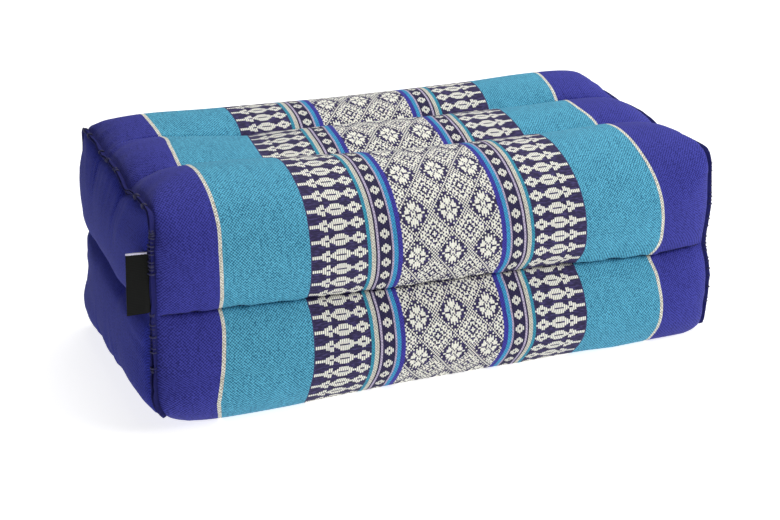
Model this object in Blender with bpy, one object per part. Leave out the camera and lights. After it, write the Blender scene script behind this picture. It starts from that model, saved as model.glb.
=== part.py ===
"""Channelled meditation cushion: a brick of six stuffed tubes, three across and two high.

X runs along the tubes, the front is -Y and the label is at the -X end. The origin is on the
surface it stands on, under the middle. Run with: blender --background --python part.py
"""

import bpy
import numpy as np

# ---- driving sizes, in metres ----
LENGTH = 0.350  # from seam to seam
WIDTH = 0.179  # the end panel's width
HEIGHT = 0.122  # the end panel's height, mean of the two ends
LIFT = 0.006  # the end panels' lower seam above the floor
TALLER = 0.005  # the left end is this much taller than the mean, the right end this much lower
HIGHER = 0.0018  # the left lower seam is this much higher than the mean, the right one lower

CROWN_SIDE = 0.0135  # how far a channel stands out of the seam rectangle, front and back
CROWN_TOP = 0.017  # the same above and below
CROWN_SAG = 0.20  # share of the upper crown lost at mid length
CROWN_POWER = 0.6  # under 1: the channels rise steeply from their sewn lines
CORNER_BOX = 2.6  # how square the crown of a corner channel is
MIDDLE_BOX = 2.2  # the same for the channels between
END_BOX = 9.0  # how soon past the end seam a channel has its full girth
SWELL_POWER = 0.62  # under 1: it swells steeply out of the end seam

CORNER_END = 0.005  # corner radius at the end seams
CORNER_UPPER = 0.036  # corner radius at mid length, above
CORNER_LOWER = 0.026  # and below, where the cushion's weight squares it
TUCK_REACH = 0.013  # how far from a sewn line its pull reaches
TUCK_FALL = 1.5

SHEET = 0.001  # thickness of the end panels and the label
GAP = 0.0006  # along X from the filling to an end panel, half that square to the steep rim
END_DOME = 0.010  # how far an end panel bulges
DOME_BOX = 6.0  # how square the dome is
DOME_POWER = 0.45  # it swells out steeply from its seam
ROW_VALLEY = 0.0075  # crease between the two rows of an end panel
COLUMN_VALLEY = 0.0035  # creases between its three columns
VALLEY_WIDTH = 0.16  # of an end panel's half size
PANEL_INSET = 0.0006  # from the seam line to an end panel's edge

EDGE_WIDTH = 0.0035  # raw seam edge, from the seam line out
EDGE_THICK = 0.0018
EDGE_ROOT = 0.0005  # clearance from the seam line to the root of the raw edge

LABEL_HEIGHT = 0.039
LABEL_LOW = 0.0735  # its lower edge above the floor
LABEL_REACH = 0.0145
LABEL_OPEN = 0.0006  # space between its two layers
LABEL_TURN = np.radians(12.0)  # it leans this far from straight out towards the panel
LABEL_ROOT = (0.0038, 0.0008)  # past the seam line, out of the end and in from the front
LABEL_FOLD_STEPS = 8

SEGMENTS = 6  # around half a corner channel, or a whole middle one
STATIONS = 26  # along the tubes

# The sewn lines in order round the section, each at the foot of the channel after it.
SEWN_LINES = {
    # line: (how far it is drawn in at the end seams, and at mid length; under 0 it stands out)
    "front": (0.002, -0.002),
    "top front": (0.006, 0.002),
    "top back": (0.002, 0.002),
    "back": (0.004, -0.002),
    "under back": (0.003, 0.002),
    "under front": (0.003, 0.002),
}
LOWER_CHANNELS = (3, 4, 5)

ROYAL_BLUE = (0.045, 0.04, 0.33, 1.0)
WRAP_BLUE = (0.06, 0.33, 0.50, 1.0)
TAB_BLACK = (0.012, 0.012, 0.014, 1.0)


def clear_scene():
    for old in list(bpy.data.objects):
        bpy.data.objects.remove(old, do_unlink=True)


def cloth(name, colour, roughness=0.85):
    material = bpy.data.materials.new(name)
    material.use_nodes = True
    shader = material.node_tree.nodes["Principled BSDF"]
    shader.inputs["Base Color"].default_value = colour
    shader.inputs["Roughness"].default_value = roughness
    shader.inputs["Metallic"].default_value = 0.0
    return material


def add_object(name, points, faces, material):
    mesh = bpy.data.meshes.new(name)
    mesh.from_pydata([tuple(p) for p in points], [], faces)
    mesh.materials.append(material)
    mesh.shade_smooth()
    mesh.set_sharp_from_angle(angle=np.radians(50))
    mesh.validate()
    thing = bpy.data.objects.new(name, mesh)
    bpy.context.collection.objects.link(thing)
    return thing


# ---- the section of the wrap ----


def seam_levels(station):
    """Heights of the lower seam, the mid seam and the upper seam at a station from -1 to 1."""
    low = LIFT - HIGHER * station
    height = HEIGHT - TALLER * station
    return low, low + height / 2, low + height


def channel_outlines(station):
    """Corner points of each channel's stretch of the seam rectangle, in order round it."""
    low, mid, high = seam_levels(station)
    side, quilt = WIDTH / 2, WIDTH / 6
    return (
        ((-side, mid), (-side, high), (-quilt, high)),
        ((-quilt, high), (quilt, high)),
        ((quilt, high), (side, high), (side, mid)),
        ((side, mid), (side, low), (quilt, low)),
        ((quilt, low), (-quilt, low)),
        ((-quilt, low), (-side, low), (-side, mid)),
    )


def straight_run(start, end, share):
    start, end = np.array(start), np.array(end)
    along = (end - start) / np.linalg.norm(end - start)
    places = start + (end - start) * share[:, None]
    return places, np.tile((-along[1], along[0]), (len(share), 1))


def rounded_run(start, corner, end, radius, share):
    """Places and outward normals at shares of the way round a right-angled, rounded corner."""
    start, corner, end = (np.array(p) for p in (start, corner, end))
    first, second = np.linalg.norm(corner - start), np.linalg.norm(end - corner)
    ahead, after = (corner - start) / first, (end - corner) / second
    arc = np.pi / 2 * radius
    way = share * (first + second - 2 * radius + arc)
    turn = np.clip((way - first + radius) / radius, 0, np.pi / 2)
    normal = np.outer(np.cos(turn), -after) + np.outer(np.sin(turn), ahead)
    centre = corner + (after - ahead) * radius
    before = np.minimum(way - first + radius, 0)
    beyond = np.maximum(way - first + radius - arc, 0)
    places = centre + normal * radius + np.outer(before, ahead) + np.outer(beyond, after)
    return places, normal


def spaced(count):
    """Shares from 0 up to 1, closer together near both sewn lines."""
    even = np.arange(count) / count
    return even - 0.5 * np.sin(2 * np.pi * even) / (2 * np.pi)


def wrap_section(station):
    """Points (y, z) round the wrap at a station from -1 to 1, from the front seam upwards."""
    swell = (1 - abs(station) ** END_BOX) ** SWELL_POWER
    drawn = list(SEWN_LINES.values())
    rings = []
    for number, outline in enumerate(channel_outlines(station)):
        corner_channel = len(outline) == 3
        share = spaced(2 * SEGMENTS if corner_channel else SEGMENTS)
        if corner_channel:
            full = CORNER_LOWER if number in LOWER_CHANNELS else CORNER_UPPER
            radius = CORNER_END + (full - CORNER_END) * swell
            places, normal = rounded_run(*outline, radius, share)
            box, span = CORNER_BOX, (WIDTH / 3 + HEIGHT / 2)
        else:
            places, normal = straight_run(*outline, share)
            box, span = MIDDLE_BOX, WIDTH / 3
        upright = abs(normal[:, 1])
        crown = CROWN_SIDE + (CROWN_TOP - CROWN_SIDE) * upright
        crown = crown * swell * (1 - CROWN_SAG * (1 - station**2) * upright)
        rise = crown * (1 - abs(2 * share - 1) ** box) ** CROWN_POWER
        lines = (drawn[number], drawn[(number + 1) % len(drawn)])
        for (at_end, at_middle), away in zip(lines, (share * span, (1 - share) * span)):
            drawn_in = at_end * (1 - swell) + at_middle * swell
            rise = rise - drawn_in * np.exp(-((away / TUCK_REACH) ** TUCK_FALL))
        rings.append(places + normal * rise[:, None])
    ring = np.concatenate(rings)
    ring[:, 1] = np.maximum(ring[:, 1], 0)  # it stands flat on the floor
    return ring


# ---- the end panels ----

COLUMNS, ROWS = 3 * SEGMENTS, 2 * SEGMENTS


def end_grid(ring):
    """The end's grid [column, row] of (y, z) inside the seam loop, blended from its four sides."""
    start = SEGMENTS  # the upper front corner's place in the ring
    top = ring[start : start + COLUMNS + 1]
    back = ring[start + COLUMNS : start + COLUMNS + ROWS + 1][::-1]
    under = ring[start + COLUMNS + ROWS : start + 2 * COLUMNS + ROWS + 1][::-1]
    front = np.concatenate([ring[start + 2 * COLUMNS + ROWS :], ring[: start + 1]])
    across = np.linspace(0, 1, COLUMNS + 1)[:, None, None]
    up = np.linspace(0, 1, ROWS + 1)[None, :, None]
    ruled_up = under[:, None] * (1 - up) + top[:, None] * up
    ruled_across = front[None] * (1 - across) + back[None] * across
    corners = (
        (under[0] * (1 - across) + under[-1] * across) * (1 - up)
        + (top[0] * (1 - across) + top[-1] * across) * up
    )
    return ruled_up + ruled_across - corners


def dome_height():
    """How far the end stands out over the grid: six soft cushions with creases between."""
    across = np.linspace(-1, 1, COLUMNS + 1)[:, None]
    up = np.linspace(-1, 1, ROWS + 1)[None]
    rim = (1 - abs(across) ** DOME_BOX) * (1 - abs(up) ** DOME_BOX)
    crease = ROW_VALLEY * np.exp(-((up / VALLEY_WIDTH) ** 2))
    for column in (-1 / 3, 1 / 3):
        crease = crease + COLUMN_VALLEY * np.exp(-(((across - column) / VALLEY_WIDTH) ** 2))
    return rim**DOME_POWER * (END_DOME - crease)


def grid_border():
    """Grid places round the border, in the ring's order from the upper front corner."""
    top = [(i, ROWS) for i in range(COLUMNS)]
    back = [(COLUMNS, j) for j in range(ROWS, 0, -1)]
    under = [(i, 0) for i in range(COLUMNS, 0, -1)]
    front = [(0, j) for j in range(ROWS)]
    return top + back + under + front


def drawn_from_seam(grid, height):
    """The same grid and heights with the border moved in from the seam line."""
    grid, height = grid.copy(), height.copy()
    for spot in grid_border():
        inner = (min(max(spot[0], 1), COLUMNS - 1), min(max(spot[1], 1), ROWS - 1))
        share = PANEL_INSET / np.linalg.norm(grid[inner] - grid[spot])
        grid[spot] += share * (grid[inner] - grid[spot])
        height[spot] += share * (height[inner] - height[spot])
    return grid, height


def grid_faces(index, flip):
    """Triangles, all split the same way so that the panel and the filling stay parallel."""
    faces = []
    for i in range(COLUMNS):
        for j in range(ROWS):
            near, far = index(i, j), index(i + 1, j + 1)
            for face in ((near, index(i + 1, j), far), (near, far, index(i, j + 1))):
                faces.append(face[::-1] if flip else face)
    return faces


def add_body(material):
    """The filled cushion: its wrap, closed at each end just inside the end panel."""
    half = LENGTH / 2 - SHEET - GAP
    stations = np.sin(np.linspace(-np.pi / 2, np.pi / 2, STATIONS))
    rings = [wrap_section(s) for s in stations]
    count = len(rings[0])
    points = [(s * half, y, z) for s, ring in zip(stations, rings) for y, z in ring]
    faces = []
    for k in range(STATIONS - 1):
        for i in range(count):
            j = (i + 1) % count
            low, high = k * count, (k + 1) * count
            faces.append((low + i, high + i, high + j, low + j))
    height = dome_height()
    for side, ring, first in ((-1, rings[0], 0), (1, rings[-1], (STATIONS - 1) * count)):
        grid = end_grid(ring)
        number = {}
        for place, spot in enumerate(grid_border()):
            number[spot] = first + (place + SEGMENTS) % count
        for i in range(1, COLUMNS):
            for j in range(1, ROWS):
                number[i, j] = len(points)
                points.append((side * (half + height[i, j]), *grid[i, j]))
        faces += grid_faces(lambda i, j: number[i, j], flip=side < 0)
    return add_object("body", points, faces, material)


def add_end_panel(name, side, material):
    """A sheet that follows the domed end, from just inside the seam line."""
    grid, height = drawn_from_seam(end_grid(wrap_section(side)), dome_height())
    points, number = [], {}
    for layer, inward in ((1, 0.0), (0, SHEET)):
        for i in range(COLUMNS + 1):
            for j in range(ROWS + 1):
                number[layer, i, j] = len(points)
                points.append((side * (LENGTH / 2 + height[i, j] - inward), *grid[i, j]))
    faces = grid_faces(lambda i, j: number[1, i, j], flip=side < 0)
    faces += grid_faces(lambda i, j: number[0, i, j], flip=side > 0)
    border = grid_border()
    for here, there in zip(border, border[1:] + border[:1]):
        rim = (number[1, *here], number[1, *there], number[0, *there], number[0, *here])
        faces.append(rim if side > 0 else rim[::-1])
    return add_object(name, points, faces, material)


def add_seam_edge(name, side, material):
    """The two raw edges, standing out at 45 degrees all round the end seam."""
    ring = wrap_section(side)
    along = np.roll(ring, -1, axis=0) - np.roll(ring, 1, axis=0)
    along /= np.linalg.norm(along, axis=1)[:, None]
    outward = np.column_stack((-along[:, 1], along[:, 0]))
    end = np.tile((side * 1.0, 0.0, 0.0), (len(ring), 1))
    across = np.column_stack((np.zeros(len(ring)), outward))
    stand = (end + across) * np.sqrt(0.5)
    flat = (across - end) * np.sqrt(0.5)
    seam = np.column_stack((np.full(len(ring), side * LENGTH / 2), ring))
    profile = (
        (EDGE_ROOT, -EDGE_THICK / 2),
        (EDGE_ROOT + EDGE_WIDTH, -EDGE_THICK / 2),
        (EDGE_ROOT + EDGE_WIDTH, EDGE_THICK / 2),
        (EDGE_ROOT, EDGE_THICK / 2),
    )
    points = [p for out, aside in profile for p in seam + stand * out + flat * aside]
    count = len(ring)
    faces = []
    for k in range(len(profile)):
        this, after = k * count, (k + 1) % len(profile) * count
        for i in range(count):
            j = (i + 1) % count
            face = (this + i, this + j, after + j, after + i)
            faces.append(face if side > 0 else face[::-1])
    return add_object(name, points, faces, material)


def label_outline():
    """Plan (x, y) of the folded tab: out along one layer, round the fold and back."""
    start = np.array((-LENGTH / 2 - LABEL_ROOT[0], -WIDTH / 2 + LABEL_ROOT[1] + LABEL_OPEN))
    out = np.array((-np.cos(LABEL_TURN), np.sin(LABEL_TURN)))
    left = np.array((-out[1], out[0]))
    inner = LABEL_OPEN / 2
    outer = inner + SHEET
    bend = np.linspace(-np.pi / 2, np.pi / 2, LABEL_FOLD_STEPS + 1)
    middle = start + out * (LABEL_REACH - outer)

    def around(radius, angles):
        return [middle + radius * (np.cos(a) * out + np.sin(a) * left) for a in angles]

    outside = [start - left * outer, *around(outer, bend), start + left * outer]
    inside = [start + left * inner, *around(inner, bend[::-1]), start - left * inner]
    return outside + inside


def add_label(material):
    outline = label_outline()
    count = len(outline)
    points = [(x, y, LABEL_LOW) for x, y in outline]
    points += [(x, y, LABEL_LOW + LABEL_HEIGHT) for x, y in outline]
    faces = []
    for i in range(count):
        j = (i + 1) % count
        faces.append((i, j, count + j, count + i))
    for i in range(count // 2 - 1):
        last = count - 1 - i
        faces.append((last, last - 1, i + 1, i))
        faces.append((count + i, count + i + 1, count + last - 1, count + last))
    return add_object("label", points, faces, material)


def main():
    clear_scene()
    wrap = cloth("woven cotton wrap", WRAP_BLUE)
    plain = cloth("plain cotton end panel", ROYAL_BLUE)
    edge = cloth("raw cotton seam edge", ROYAL_BLUE, roughness=0.9)
    tab = cloth("woven black tab", TAB_BLACK, roughness=0.7)
    add_body(wrap)
    for word, side in (("left", -1), ("right", 1)):
        add_end_panel(f"end_{word}", side, plain)
        add_seam_edge(f"seam_{word}", side, edge)
    add_label(tab)


main()
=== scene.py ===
"""Channelled meditation cushion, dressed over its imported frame: a brick of six stuffed tubes
in one striped and patterned woven wrap, with plain end panels, raw seam edges whipped over by
hand, quilting stitches and a blank folded tab.

X runs along the tubes, the front is -Y and the tab is at the -X end. Lengths are in metres,
but for how the cloth is woven, which is in millimetres.
"""

import math

import bpy
import numpy as np
from bpy.props import FloatProperty, FloatVectorProperty, PointerProperty
from mathutils import Matrix, Vector


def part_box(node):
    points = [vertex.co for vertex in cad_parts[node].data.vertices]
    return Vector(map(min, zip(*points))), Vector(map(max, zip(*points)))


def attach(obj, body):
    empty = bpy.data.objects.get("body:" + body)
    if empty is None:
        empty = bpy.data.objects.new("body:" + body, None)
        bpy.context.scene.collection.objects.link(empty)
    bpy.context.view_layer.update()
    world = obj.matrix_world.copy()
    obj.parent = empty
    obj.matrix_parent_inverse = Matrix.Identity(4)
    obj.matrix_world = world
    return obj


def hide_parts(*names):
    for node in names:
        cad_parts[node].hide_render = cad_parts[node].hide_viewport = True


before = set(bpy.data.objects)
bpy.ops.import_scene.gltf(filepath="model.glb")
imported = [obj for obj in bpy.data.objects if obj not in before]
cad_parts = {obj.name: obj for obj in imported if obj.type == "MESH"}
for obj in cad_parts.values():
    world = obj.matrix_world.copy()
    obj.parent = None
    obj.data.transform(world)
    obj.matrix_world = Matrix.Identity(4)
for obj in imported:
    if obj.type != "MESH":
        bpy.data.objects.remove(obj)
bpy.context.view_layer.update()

bl_info = {
    "name": "Channelled Meditation Cushion",
    "version": (1, 0, 0),
    "blender": (4, 5, 0),
    "location": "3D View > Sidebar > Cushion",
    "description": "Sews, fills and dresses a channelled cushion in a patterned woven wrap",
    "category": "Object",
}

MM = 0.001
SIDES = (("left", -1), ("right", 1))

# ---- what the frame gives, to a tenth of a millimetre ----
PANEL_INSET = 0.0006  # from a seam line to its end panel's edge


def seam_line(node):
    """Width of an end's seam line, and its heights below and above."""
    low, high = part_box(node)
    width = high.y - low.y + 2 * PANEL_INSET
    return [round(v, 4) for v in (width, low.z - PANEL_INSET, high.z + PANEL_INSET)]


SEAM_WIDTH, LEFT_LOW, LEFT_HIGH = seam_line("end_left")
_, RIGHT_LOW, RIGHT_HIGH = seam_line("end_right")
TAB_TOP = round(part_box("label")[1].z, 4)
TAB_WIDTH = 0.0362  # narrower than the frame's tab, whose top it shares

# ---- how the cushion is shaped ----
TOP_MIDDLE = 4  # number of the middle channel on top, from the back seam down and round
# For each channel, in that order: the share of its crown lost near the ends, how much more at mid
# length, and how much more towards the right end.
CROWN_LOSSES = (
    (0.0, 0.20, 0.0),
    (0.0, 0.20, 0.0),
    (0.0, 0.20, 0.0),
    (0.02, 0.36, 0.13),
    None,  # the middle one on top follows MIDDLE_CROWN
    (-0.08, 0.29, -0.07),
)
CROWN_POWER = 0.6  # under 1: the channels rise steeply from their sewn lines
CORNER_BOX = 2.6  # how square the crown of a corner channel is
MIDDLE_BOX = 2.2  # and of a middle one
MIDDLE_POWER = 0.9  # the middle one on top is rounder
END_BOX = 9.0  # how soon past the end seam a channel has its full girth
SWELL_POWER = 0.62  # under 1: it swells steeply there
# The front seam wanders: how far above its level it is sewn, along it.
FRONT_STATIONS = (-1.0, -0.78, -0.17, 0.26, 0.55, 0.81, 1.0)
FRONT_RISES = (0.0011, 0.0013, -0.0013, -0.0012, -0.0029, -0.0050, -0.0038)
# How much of the full crown the middle channel on top keeps, and the two sewn lines beside it.
LINE_STATIONS = (-1.0, -0.8, -0.6, -0.5, -0.4, -0.2, 0.0, 0.4, 0.6, 0.8, 1.0)
MIDDLE_CROWN = (1.0, 0.76, 0.60, 0.52, 0.60, 0.64, 0.62, 0.60, 0.62, 0.68, 0.80)
FRONT_LINE = (0.72, 0.58, 0.44, 0.36, 0.28, 0.10, 0.0, 0.0, 0.10, 0.30, 0.40)
BACK_LINE = (1.0, 0.60, 0.30, 0.12, 0.16, 0.12, 0.04, 0.0, 0.10, 0.30, 0.42)
CORNER_END = 0.005  # corner radius at the end seams
CORNER_UPPER = 0.036  # at mid length, above
CORNER_LOWER = 0.026  # and below
TUCK_REACH = 0.013  # how far from a sewn line its pull reaches
TUCK_FALL = 1.5  # over 1: it fades slowly at first
SHEET = 0.001  # an end panel's thickness
GAP = 0.0006  # from the filling to an end panel
DOME_BOX = 6.0  # how square the dome of an end panel is
DOME_POWER = 0.45  # under 1: it rises steeply from the seam
RIGHT_DOME = 0.62  # how far the right end panel bulges, as a share of the left one
ROW_VALLEY = 0.0075  # crease between the two rows of an end panel
COLUMN_VALLEY = 0.0005  # and between its columns
VALLEY_WIDTH = 0.16  # of an end panel's half size
# How much further out than its level each end is sewn, by height above the floor. Low down the
# left end is drawn in towards the front.
END_HEIGHTS = (0.0, 0.008, 0.016, 0.024, 0.036, 0.047, 0.058, 0.066, 0.084, 0.112, 0.124)
LEFT_FRONT = (-0.0028, 0.0014, 0.005, 0.006, 0.0056, 0.0046, 0.0036, 0.003, 0.0018, 0.001, -0.0006)
LEFT_BACK = (0.001, 0.005, 0.0074, 0.0064, 0.0026, 0.001, 0.0007, 0.0012, 0.0016, 0.001, -0.0006)
RIGHT_LOWER = (0.0, 0.0005, 0.0017, 0.0026, 0.0037, 0.0034, 0.0014, 0.0016)  # front and back alike
RIGHT_FRONT = (*RIGHT_LOWER, 0.0037, 0.0036, 0.0018)
RIGHT_BACK = (*RIGHT_LOWER, 0.002, -0.0004, -0.0016)
END_REACH_FADE = 2.5  # how soon that is lost away from the end
# Sewn lines in order round the section: how far each is drawn in at the end seams and at mid
# length. Under 0 it stands out.
SEWN_LINES = (
    (0.004, -0.002),  # back
    (0.003, 0.002),  # under the back
    (0.003, 0.002),  # under the front
    (0.002, -0.002),  # front
    (0.006, 0.002),  # front of the top
    (0.002, 0.002),  # back of the top
)

# ---- how finely it is cut ----
STEPS = 14  # coarse cloth cells across a middle channel; a corner channel has twice as many
STATIONS = 96  # coarse rings of cloth from end to end
RING = 20 * STEPS  # fine points round the wrap, two to a coarse cell
RINGS = 2 * STATIONS - 1
COLUMNS, ROWS = 6 * STEPS, 4 * STEPS  # fine cells of an end panel
CROWDING = 0.4  # of the rings towards the end seams
# Fine places round the wrap, from the back seam down: its sewn lines and its four corners.
SEWN_PLACES = [k * STEPS for k in (0, 4, 6, 10, 14, 16)]
FRONT_SEAM = SEWN_PLACES[3]
LOWER_BACK, LOWER_FRONT, UPPER_FRONT, UPPER_BACK = (k * STEPS for k in (2, 8, 12, 18))

# ---- how the filling blows the cloth out ----
CLOTH_SETTINGS = {
    "quality": 7,
    "mass": 0.2,
    "tension_stiffness": 60,
    "compression_stiffness": 60,
    "shear_stiffness": 12,
    "bending_stiffness": 4,
    "vertex_group_mass": "held",
    "use_pressure": True,
}
FILLING_FRAMES = 20
MOST_MOVED = 0.005  # how far the filling may move any of the cloth
CREASE_HELD = 0.9  # how firmly the crease of an end panel stays

# ---- how unevenly it lies: how high, then how far apart or how far it reaches ----
KNOTS = 400  # random values along an open line, enough for the finest spacing
LUMP, LUMP_PITCHES = 0.0006, (0.085, 0.035)
PUCKER, PUCKER_PITCHES, PUCKER_REACH, PUCKER_FALL = 0.00065, (0.0085, 0.0045), 0.010, 1.4
GATHERS, GATHER_PITCHES, GATHER_REACH = (0.0012, 0.0006), (0.011, 0.0055), 0.010  # left, right
PUCKER_FINE, GATHER_FINE = 0.6, 0.7  # how strong the finer ones are
SEAM_TIGHT = 0.0015  # the cloth lies flat this near an end seam
CREASE = 0.0011  # how much deeper than its valley the stitched line is pulled
CREASE_ENDS = 40  # how late it fades towards the end seams
END_LUMP, END_LUMP_PITCHES, END_LUMP_FADE = 0.0005, (0.07, 0.03), 0.006
END_GATHER, END_GATHER_PITCHES, END_GATHER_REACH = 0.0008, (0.012, 0.006), 0.011
END_CREASE, END_CREASE_WIDTH, END_CREASE_FADE = 0.0012, 0.0012, 0.004
END_ROUND = 0.6  # the way round an end panel, roughly

# ---- the raw edges and what is sewn through them ----
RIGHT_EDGE = 0.45  # width of the right raw edge, as a share of the left one
EDGE_CLOTH = 0.00042  # half the thickness of one of its two cut edges
EDGE_APART = 0.0011  # from the seam line to the foot of each
EDGE_ROOT = 0.0010  # how deep their feet lie under the seam line
EDGE_HALFWAY = 0.45  # where up its width a raw edge bends, and a stitch wraps it
OPEN_PLACE, OPEN_REACH, OPEN_GAPE = -0.034, 0.017, 0.0007  # the open stretch low on the front
EDGE_BEND_APART = 0.00048  # from the ridge's middle to each of them where they bend
BEND_GAPE, BEND_LEAN = 0.4, 0.5  # shares of their gape and lean that they have there
TIP_THINNER = 0.7  # thickness at the tip's shoulder, as a share
EDGE_SHOULDER = 0.0002  # how deep each one's rounded tip is
INNER_SHORTER = 0.07  # share of the width by which the second one is cut shorter
EDGE_WAVES = ((0.14, 0.012), (0.06, 0.004))  # share of the width, and spacing
EDGE_LEAN, EDGE_LEAN_PITCH = 0.0004, 0.010
EDGE_GAPE, EDGE_GAPE_MORE, EDGE_GAPE_PITCH = 0.00008, 0.00014, 0.009  # how far they part
# Under the cushion and a little way up its corners they are pressed flat: narrower and closer.
PRESSED_BEYOND, PRESSED_BLEND = 0.006, 0.010
PRESSED_NARROWER, PRESSED_CLOSER = 0.6, 0.7
PINCH_PITCH = 0.026  # between the stitches that pinch a raw edge in
PINCH_STRAY = 0.25  # of that, to either side at random
PINCH_REACH = 0.0016  # to each side along the edge
PINCH_DEPTH = 0.3  # of the edge's width
PINCH_LOWEST = 0.035  # above the floor
LEFT_WHIPPED = ((0.050, 0.071), (0.099, 0.128))  # heights between which the front is whipped
RIGHT_WHIPPED = ((0.020, 0.115),)
THREAD_CLEAR = 0.0002  # from the cloth to a quilting stitch
RINGS_BARE = 4  # at each end of a quilting line
STITCH_SKEW = 0.6  # radians, for an unevenness of 1
WHIP_LEAN = 22  # degrees by which a whipped stitch leans along its edge
WHIP_OVER = 0.5  # radians by which each end of it goes on past half a turn

# ---- the stage ----
FLOOR_HALF = 8.0  # wide enough for its edges to stay out of sight
WORLD_STRENGTH = 0.14
LAMPS_AIM = (0, 0, 0.05)
LAMPS = (  # each one's place, width and power
    ("key", (1.1, -0.85, 1.05), 1.0, 17.9),
    ("top", (0.7, 0.5, 2.1), 1.8, 38.0),
    ("fill", (-1.7, -1.0, 0.9), 1.4, 0.3),
)
CAMERA_ANGLES = (-19.21, 20.23, -2.32)  # round from the front, up and roll, in degrees
CAMERA_AIM, CAMERA_AWAY, CAMERA_CLIP = (0, 0, 0.070), 1.29128, 50
CAMERA_SENSOR, CAMERA_LENS = 36.0, 93.3  # millimetres
CAMERA_SHIFT = (-0.0030, -0.0442)

# ---- how the wrap is woven, in millimetres from the middle of the cloth ----
LATTICE_EDGE = 31.5
BORDER_EDGE = 52.8
SPINDLE_EDGE = 86.5
LINE_EDGE = 137.2
ROYAL_EDGE = 139.7
CLOTH_EDGE = 180.0
ROW_PITCH = 8.93  # from one spindle row to the next
LATTICE_ACROSS, LATTICE_UP = 11.3, 13.4  # half a repeat of the middle panel
# The threads are about half a millimetre apart, and are drawn coarser, so that they show.
THREAD_PITCH = 0.9
CROSSINGS, THICKER = 1.2, 1.3  # how strongly the threads' crossings show, and thicker threads
SEAM_TAKES = 4.8  # cloth taken up on each side of a sewn line
LAST_SPARED = 4.4  # how much less the last of them takes
ROWS_HIGHER = 2.1  # how far above the front seam the pattern's middle is sewn
ROWS_LEAN = 0.0186  # how much the rows rise to the right, per millimetre
ENDS_ACROSS, ENDS_UP = 178.0, -160.0  # plain cloth, for the wrap's ends under the panels
SKEW_SMOOTHED = 7  # fine places over which the skew is evened out
# The flat layout, in shares of its square: the wrap, and the two ends in a column beside it.
FLAT_WRAP, FLAT_END, FLAT_STARTS = 0.93, (0.06, 0.48), ((0.935, 0.01), (0.935, 0.51))

# How the cloth was sewn askew: round it from the front seam, in millimetres, how far the stripes
# lie to the right in the middle, how much further at the thin stripe, and how much of that is
# the same at both ends.
SKEW = (
    (-150, 0.0, 0.0, 0.0),
    (-72, -4.0, -0.2, -2.3),
    (-58, -0.5, 1.0, -2.0),
    (-40, 1.7, 0.3, -1.8),
    (-14, 0.5, -2.0, -1.0),
    (0, -1.6, -3.2, -0.7),
    (12, 1.5, 0.0, -0.5),
    (25, 2.1, 0.0, -1.6),
    (48, 1.8, -1.0, -2.0),
    (63, 1.5, -3.0, -3.5),
    (80, -0.2, -4.0, -4.0),
    (98, -1.5, -4.7, -4.8),
    (118, -3.0, -3.5, -2.5),
    (138, -4.0, -2.3, -1.7),
    (148, -5.2, -4.3, -2.2),
    (164, -6.0, -5.7, -2.3),
    (178, -3.0, -5.6, -2.4),
    (206, -1.2, -4.3, -4.2),
    (232, -2.0, -3.2, -4.3),
    (300, 0.0, 0.0, 0.0),
)

# Quarter of the middle panel's repeat, from the flower's heart at the lower left out to the small
# diamond's heart at the upper right. # is cream, . is the dark ground. The first column and the
# lowest row lie on the repeat's axes, and the last ones on the diamond's. It is charted a quarter
# coarser than the cloth is woven, so that the lines between the diamonds stay clear.
LATTICE_CHART = """
#..###.##..##
.#.#.##..#..#
#.#.##.#.##..
...#..###..#.
..#.#.#.##.##
#....#.##.#..
#.#.#.#..###.
###....#.#.##
###.#...#.#.#
##.##....#.#.
#.####..#.#.#
.#.###.....#.
##....##..#.#
"""

# The spindle band's ribs from the border outwards: how far up and down from the row's middle
# each stroke begins and ends, in millimetres.
SPINDLE_RIBS = (
    (0.0, 0.6),
    (0.0, 1.9), (0.0, 2.3), (0.6, 3.4), (0.6, 3.5), (0.0, 2.3), (0.0, 1.9),
    (0.0, 0.8), (0.0, 0.8),
    (0.0, 2.0), (0.0, 2.4), (0.42, 3.35), (0.42, 3.5), (0.42, 3.5), (0.42, 3.5), (0.42, 3.35),
    (0.0, 2.3), (0.0, 1.6),
    (0.0, 1.0),
    (0.5, 3.4), (0.5, 3.4), (0.0, 2.4), (0.0, 2.2),
    (0.0, 1.0), (0.0, 1.0), (0.0, 1.0), (0.0, 1.0), (0.0, 1.0),
)
STROKE_SCALE = 5.0  # the longest stroke a rib can have, so that a ramp can hold it
RIB_SOLID = 0.79  # of a rib's width is yarn

# The border's stripes from the lattice outwards: width in millimetres and sRGB colour.
BORDER_STRIPES = (
    (2.9, "#3B3799"),
    (2.5, "#3B93C1"),
    (1.1, "#AEA2BC"),
    (7.8, "#292348"),
    (1.3, "#B5AAC4"),
    (1.0, "#262042"),
    (2.6, "#C8C6BA"),
    (2.1, "#368FAA"),
)
FLOWER_MIDDLE = 10.4  # the flower row's middle, from the lattice's edge
FLOWER_RIBS = ((0.7, 3.15), (0.0, 2.4), (0.0, 1.3))  # from a flower's middle outwards
FLOWER_RIB = 1.15  # width of one of them
SPINDLE_TAPER, FLOWER_TAPER = 0.25, 0.4  # how much shorter a stroke is at its rib's edges


def linear(code):
    """A hex sRGB colour as linear RGBA."""
    shares = [int(code[i : i + 2], 16) / 255 for i in (1, 3, 5)]
    return (*[s / 12.92 if s <= 0.04045 else ((s + 0.055) / 1.055) ** 2.4 for s in shares], 1.0)


def length_of(name, text, value):
    return FloatProperty(name=name, description=text, default=value, unit="LENGTH", precision=4)


def colour_of(name, text, code):
    return FloatVectorProperty(
        name=name, description=text, default=linear(code), size=4, subtype="COLOR", min=0, max=1
    )


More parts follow.
